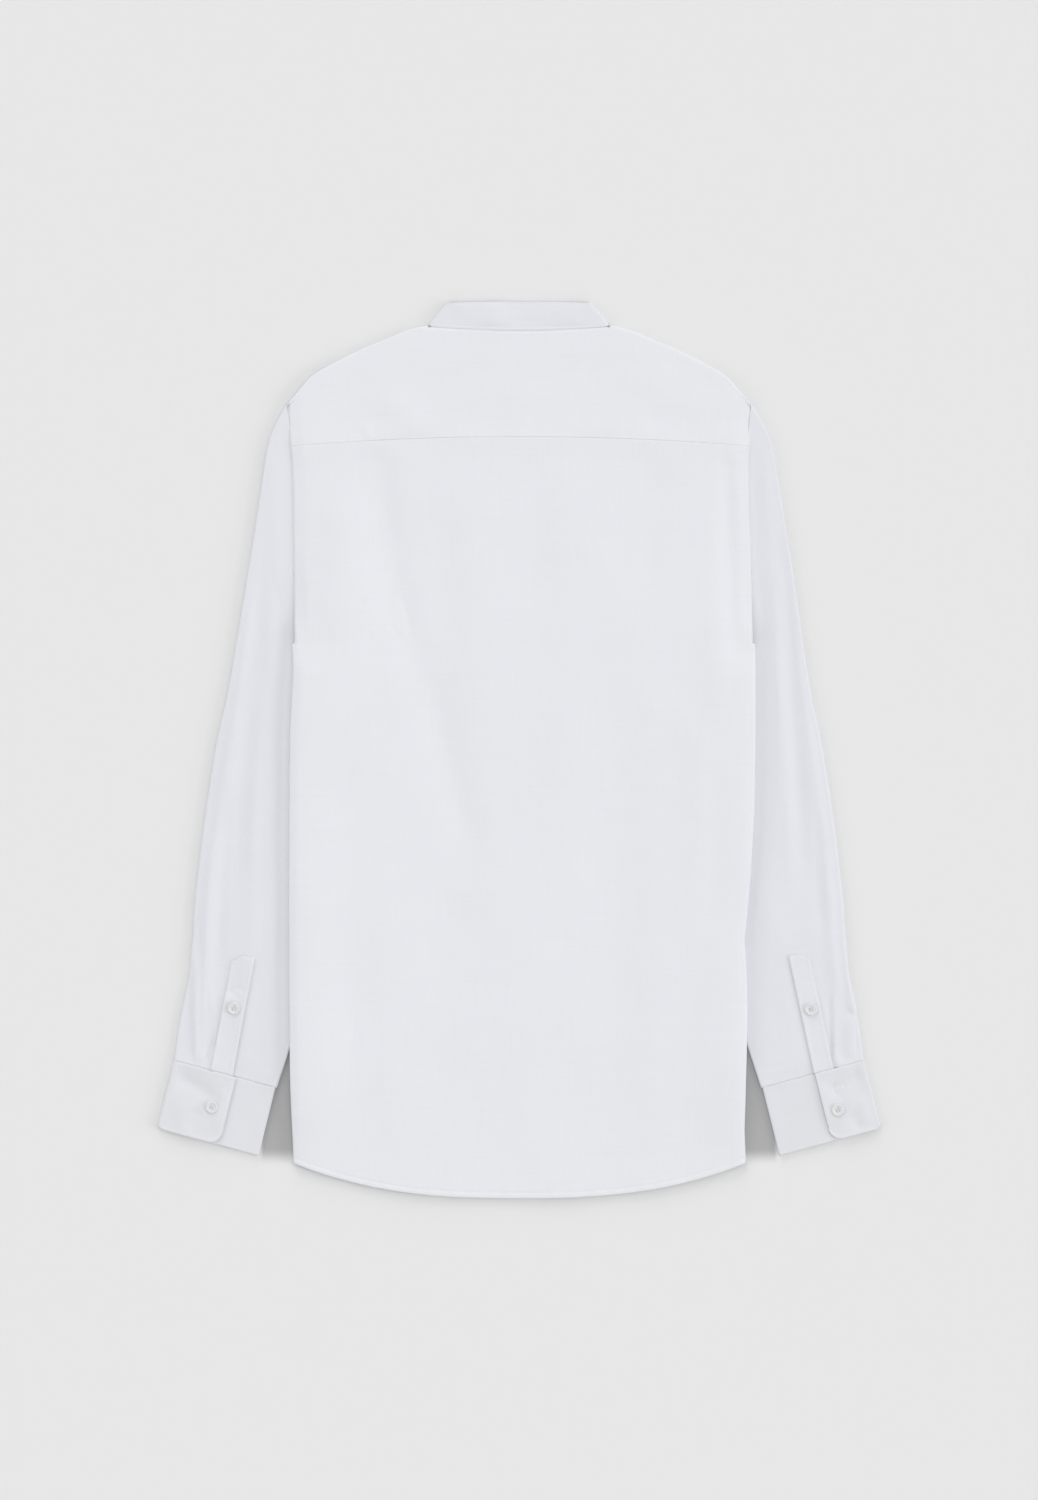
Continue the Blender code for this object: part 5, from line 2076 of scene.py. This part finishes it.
def cuff_of(shirt: Shirt, side: Side) -> Cuff:
    """Cuff with that side's own flap and creases.

    Args:
        shirt: The lay, the cut and the finishes.
        side: Which side.

    Returns:
        The cuff.
    """
    if side is Side.LEFT:
        creases = (
            Crease(0.0030, 0.012, 0.0480, 0.024, -0.0018, 0.0075),
            Crease(0.0490, 0.012, 0.0510, 0.050, 0.0008, 0.005),
            Crease(0.0180, 0.030, 0.0220, 0.062, 0.0009, 0.010),
            Crease(0.0330, 0.036, 0.0270, 0.056, -0.0010, 0.0055),
        )
        return Cuff(shirt, side, 0.057, creases, button=(0.0425, 0.031))
    creases = (
        Crease(0.0030, 0.010, 0.0380, 0.022, -0.0017, 0.0070),
        Crease(0.0310, 0.014, 0.0280, 0.024, -0.0009, 0.003),
        Crease(0.0220, 0.042, 0.0180, 0.058, -0.0009, 0.006),
        Crease(0.0100, 0.030, 0.0130, 0.056, 0.0009, 0.008),
        Crease(0.0410, 0.010, 0.0430, 0.046, 0.0007, 0.005),
    )
    return Cuff(shirt, side, 0.045, creases, button=(0.0335, 0.036))


def placket_of(shirt: Shirt, sleeve: Sleeve) -> Placket:
    """Placket with that side's own place and creases.

    Args:
        shirt: The lay, the cut and the finishes.
        sleeve: The sleeve that it lies on.

    Returns:
        The placket.
    """
    if sleeve.side is Side.LEFT:
        creases = (
            Crease(0.2420, -0.2150, 0.2620, -0.2210, 0.0007, 0.0035),
            Crease(0.2430, -0.2080, 0.2560, -0.2120, -0.0005, 0.0025),
        )
        return Placket(shirt, sleeve, (0.2415, -0.1800), (0.2600, -0.2765), 0.020, 0.008,
                       creases, (0.2507, -0.2270))
    creases = (Crease(0.2500, -0.1900, 0.2560, -0.2150, 0.0003, 0.006),)
    return Placket(shirt, sleeve, (0.2455, -0.1790), (0.2665, -0.2755), 0.018, 0.006,
                   creases, (0.2565, -0.2279))


@dataclass
class Sewn:
    """Piece with the sewing and the buttons that are on it."""

    cloth: bpy.types.Object
    on_it: list[bpy.types.Object] = field(default_factory=list)

    def stitched(self, name: str, runs: Iterable[Sequence[Vector]],
                 thread: bpy.types.Material) -> "Sewn":
        """Add lines of stitches and hand the piece back."""
        self.on_it.append(Stitching().build(name, runs, thread))
        return self


def build_arm(shirt: Shirt, side: Side, buttons: Buttons, blank: bpy.types.Mesh,
              rests: dict[str, Sewn]) -> None:
    """Sleeve, cuff and placket of one side with their sewing and buttons.

    Args:
        shirt: The lay, the cut and the finishes.
        side: Which side.
        buttons: Maker of the buttons.
        blank: Mesh of one button.
        rests: Pieces made so far by node; the new ones are added.
    """
    sleeve = sleeve_of(shirt, side)
    cuff = cuff_of(shirt, side)
    placket = placket_of(shirt, sleeve)
    thread = shirt.finishes.thread
    rests[f"sleeve_{side.label}"] = Sewn(sleeve.build())
    log.info("sleeve %s", side.label)
    cloth = Sewn(cuff.build())
    cloth.stitched(f"cuff_stitches_{side.label}", cuff.stitch_runs(), thread)
    seat = cuff.face(*cuff.button) + cuff.wall / 2.0 + buttons.cuff_gap
    flat = cuff.plan(*cuff.button)
    at = Vector((flat.x, flat.y, seat))
    cloth.on_it += buttons.place(blank, f"cuff_button_{side.label}", at, True, 0.5 * side.value)
    rests[f"cuff_{side.label}"] = cloth
    log.info("cuff %s", side.label)
    cloth = Sewn(placket.build())
    cloth.stitched(f"placket_stitches_{side.label}", placket.stitch_runs(), thread)
    x, y = placket.button
    seat = sleeve.top(x, y) + shirt.lay.layer + placket.wall / 2.0 + buttons.strip_gap
    at = Vector((side.value * x, y, seat))
    cloth.on_it += buttons.place(blank, f"sleeve_button_{side.label}", at, True, 0.3)
    rests[f"sleeve_placket_{side.label}"] = cloth
    log.info("placket %s", side.label)


def slot_of(node: str) -> str:
    """Material slot of a cloth piece."""
    if node == "collar_band":
        return "collar_cloth"
    if node.startswith(("cuff", "sleeve_placket")):
        return "cuff_cloth"
    return "shirt_cloth"


def declare(shirt: Shirt, sewn: dict[str, Sewn]) -> None:
    """Hide the solid of each cloth piece; each sheet's cut and what it lies on are listed but not
    passed on.

    Args:
        shirt: The lay, the cut and the finishes.
        sewn: Every cloth piece by its node.
    """
    cuts = {
        "back_panel": ((0.560, 0.670), 0.322, ["front_left", "front_right", "sleeve_left",
                                              "sleeve_right"]),
        "back_yoke": ((0.407, 0.135), 0.046, ["front_left", "front_right"]),
        "front_left": ((0.294, 0.700), 0.168, ["sleeve_left"]),
        "front_right": ((0.294, 0.700), 0.168, ["sleeve_right", "front_left"]),
        "collar_band": ((0.430, 0.030), 0.0120, []),
    }
    for side in Side:
        cuts[f"sleeve_{side.label}"] = ((0.270, 0.600), 0.110, [])
        cuts[f"cuff_{side.label}"] = ((0.215, 0.0615), 0.0130, [])
        cuts[f"sleeve_placket_{side.label}"] = ((0.020, 0.106), 0.0021, [f"sleeve_{side.label}"])
    for node, (flat, area, under) in cuts.items():
        piece = sewn[node]
        slot = slot_of(node)
        shirt.replace(piece.cloth, node, slot)
        for thing in piece.on_it:
            "stitches" in thing.name
        rests_on = [sewn[name].cloth for name in under]
        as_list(piece.on_it)


def main() -> None:
    """Build the shirt, dress it and set the studio."""
    logging.basicConfig(level=logging.INFO, format="%(message)s")
    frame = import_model()
    log.info("frame %s", sorted(frame)[:4])
    shirt = Shirt(Lay(), Cut(), Finishes.made())
    body = Body(shirt)
    collar = Collar(shirt)
    sewing = BodySewing(body, collar)
    thread = shirt.finishes.thread
    sewn = {}
    sewn["back_panel"] = Sewn(body.build_back())
    sewn["back_panel"].stitched("back_stitches", sewing.on_back(), thread)
    log.info("back")
    sewn["back_yoke"] = Sewn(body.build_yoke())
    sewn["back_yoke"].stitched("yoke_stitches", sewing.on_yoke(), thread)
    log.info("yoke")
    for side in Side:
        sewn[f"front_{side.label}"] = Sewn(body.build_front(side))
        log.info("front %s", side.label)
    sewn["collar_band"] = Sewn(collar.build())
    sewn["collar_band"].stitched("collar_stitches", sewing.on_collar(), thread)
    log.info("collar")
    buttons = Buttons(shirt)
    blank = buttons.blank()
    for side in Side:
        build_arm(shirt, side, buttons, blank, sewn)
    cut = shirt.cut
    for number in range(cut.front_buttons):
        at = Vector((0.0, cut.first_button_y - number * cut.button_pitch, 0.0))
        sewn["front_left"].on_it += buttons.place(
            blank, f"front_button_{number + 1}", at, False, 0.0)
    at = Vector((0.0, cut.collar_button_y, 0.0))
    sewn["collar_band"].on_it += buttons.place(blank, "collar_button", at, False, 0.0)
    log.info("buttons")
    declare(shirt, sewn)
    Studio().build()
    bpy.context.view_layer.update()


if __name__ == "__main__":
    main()
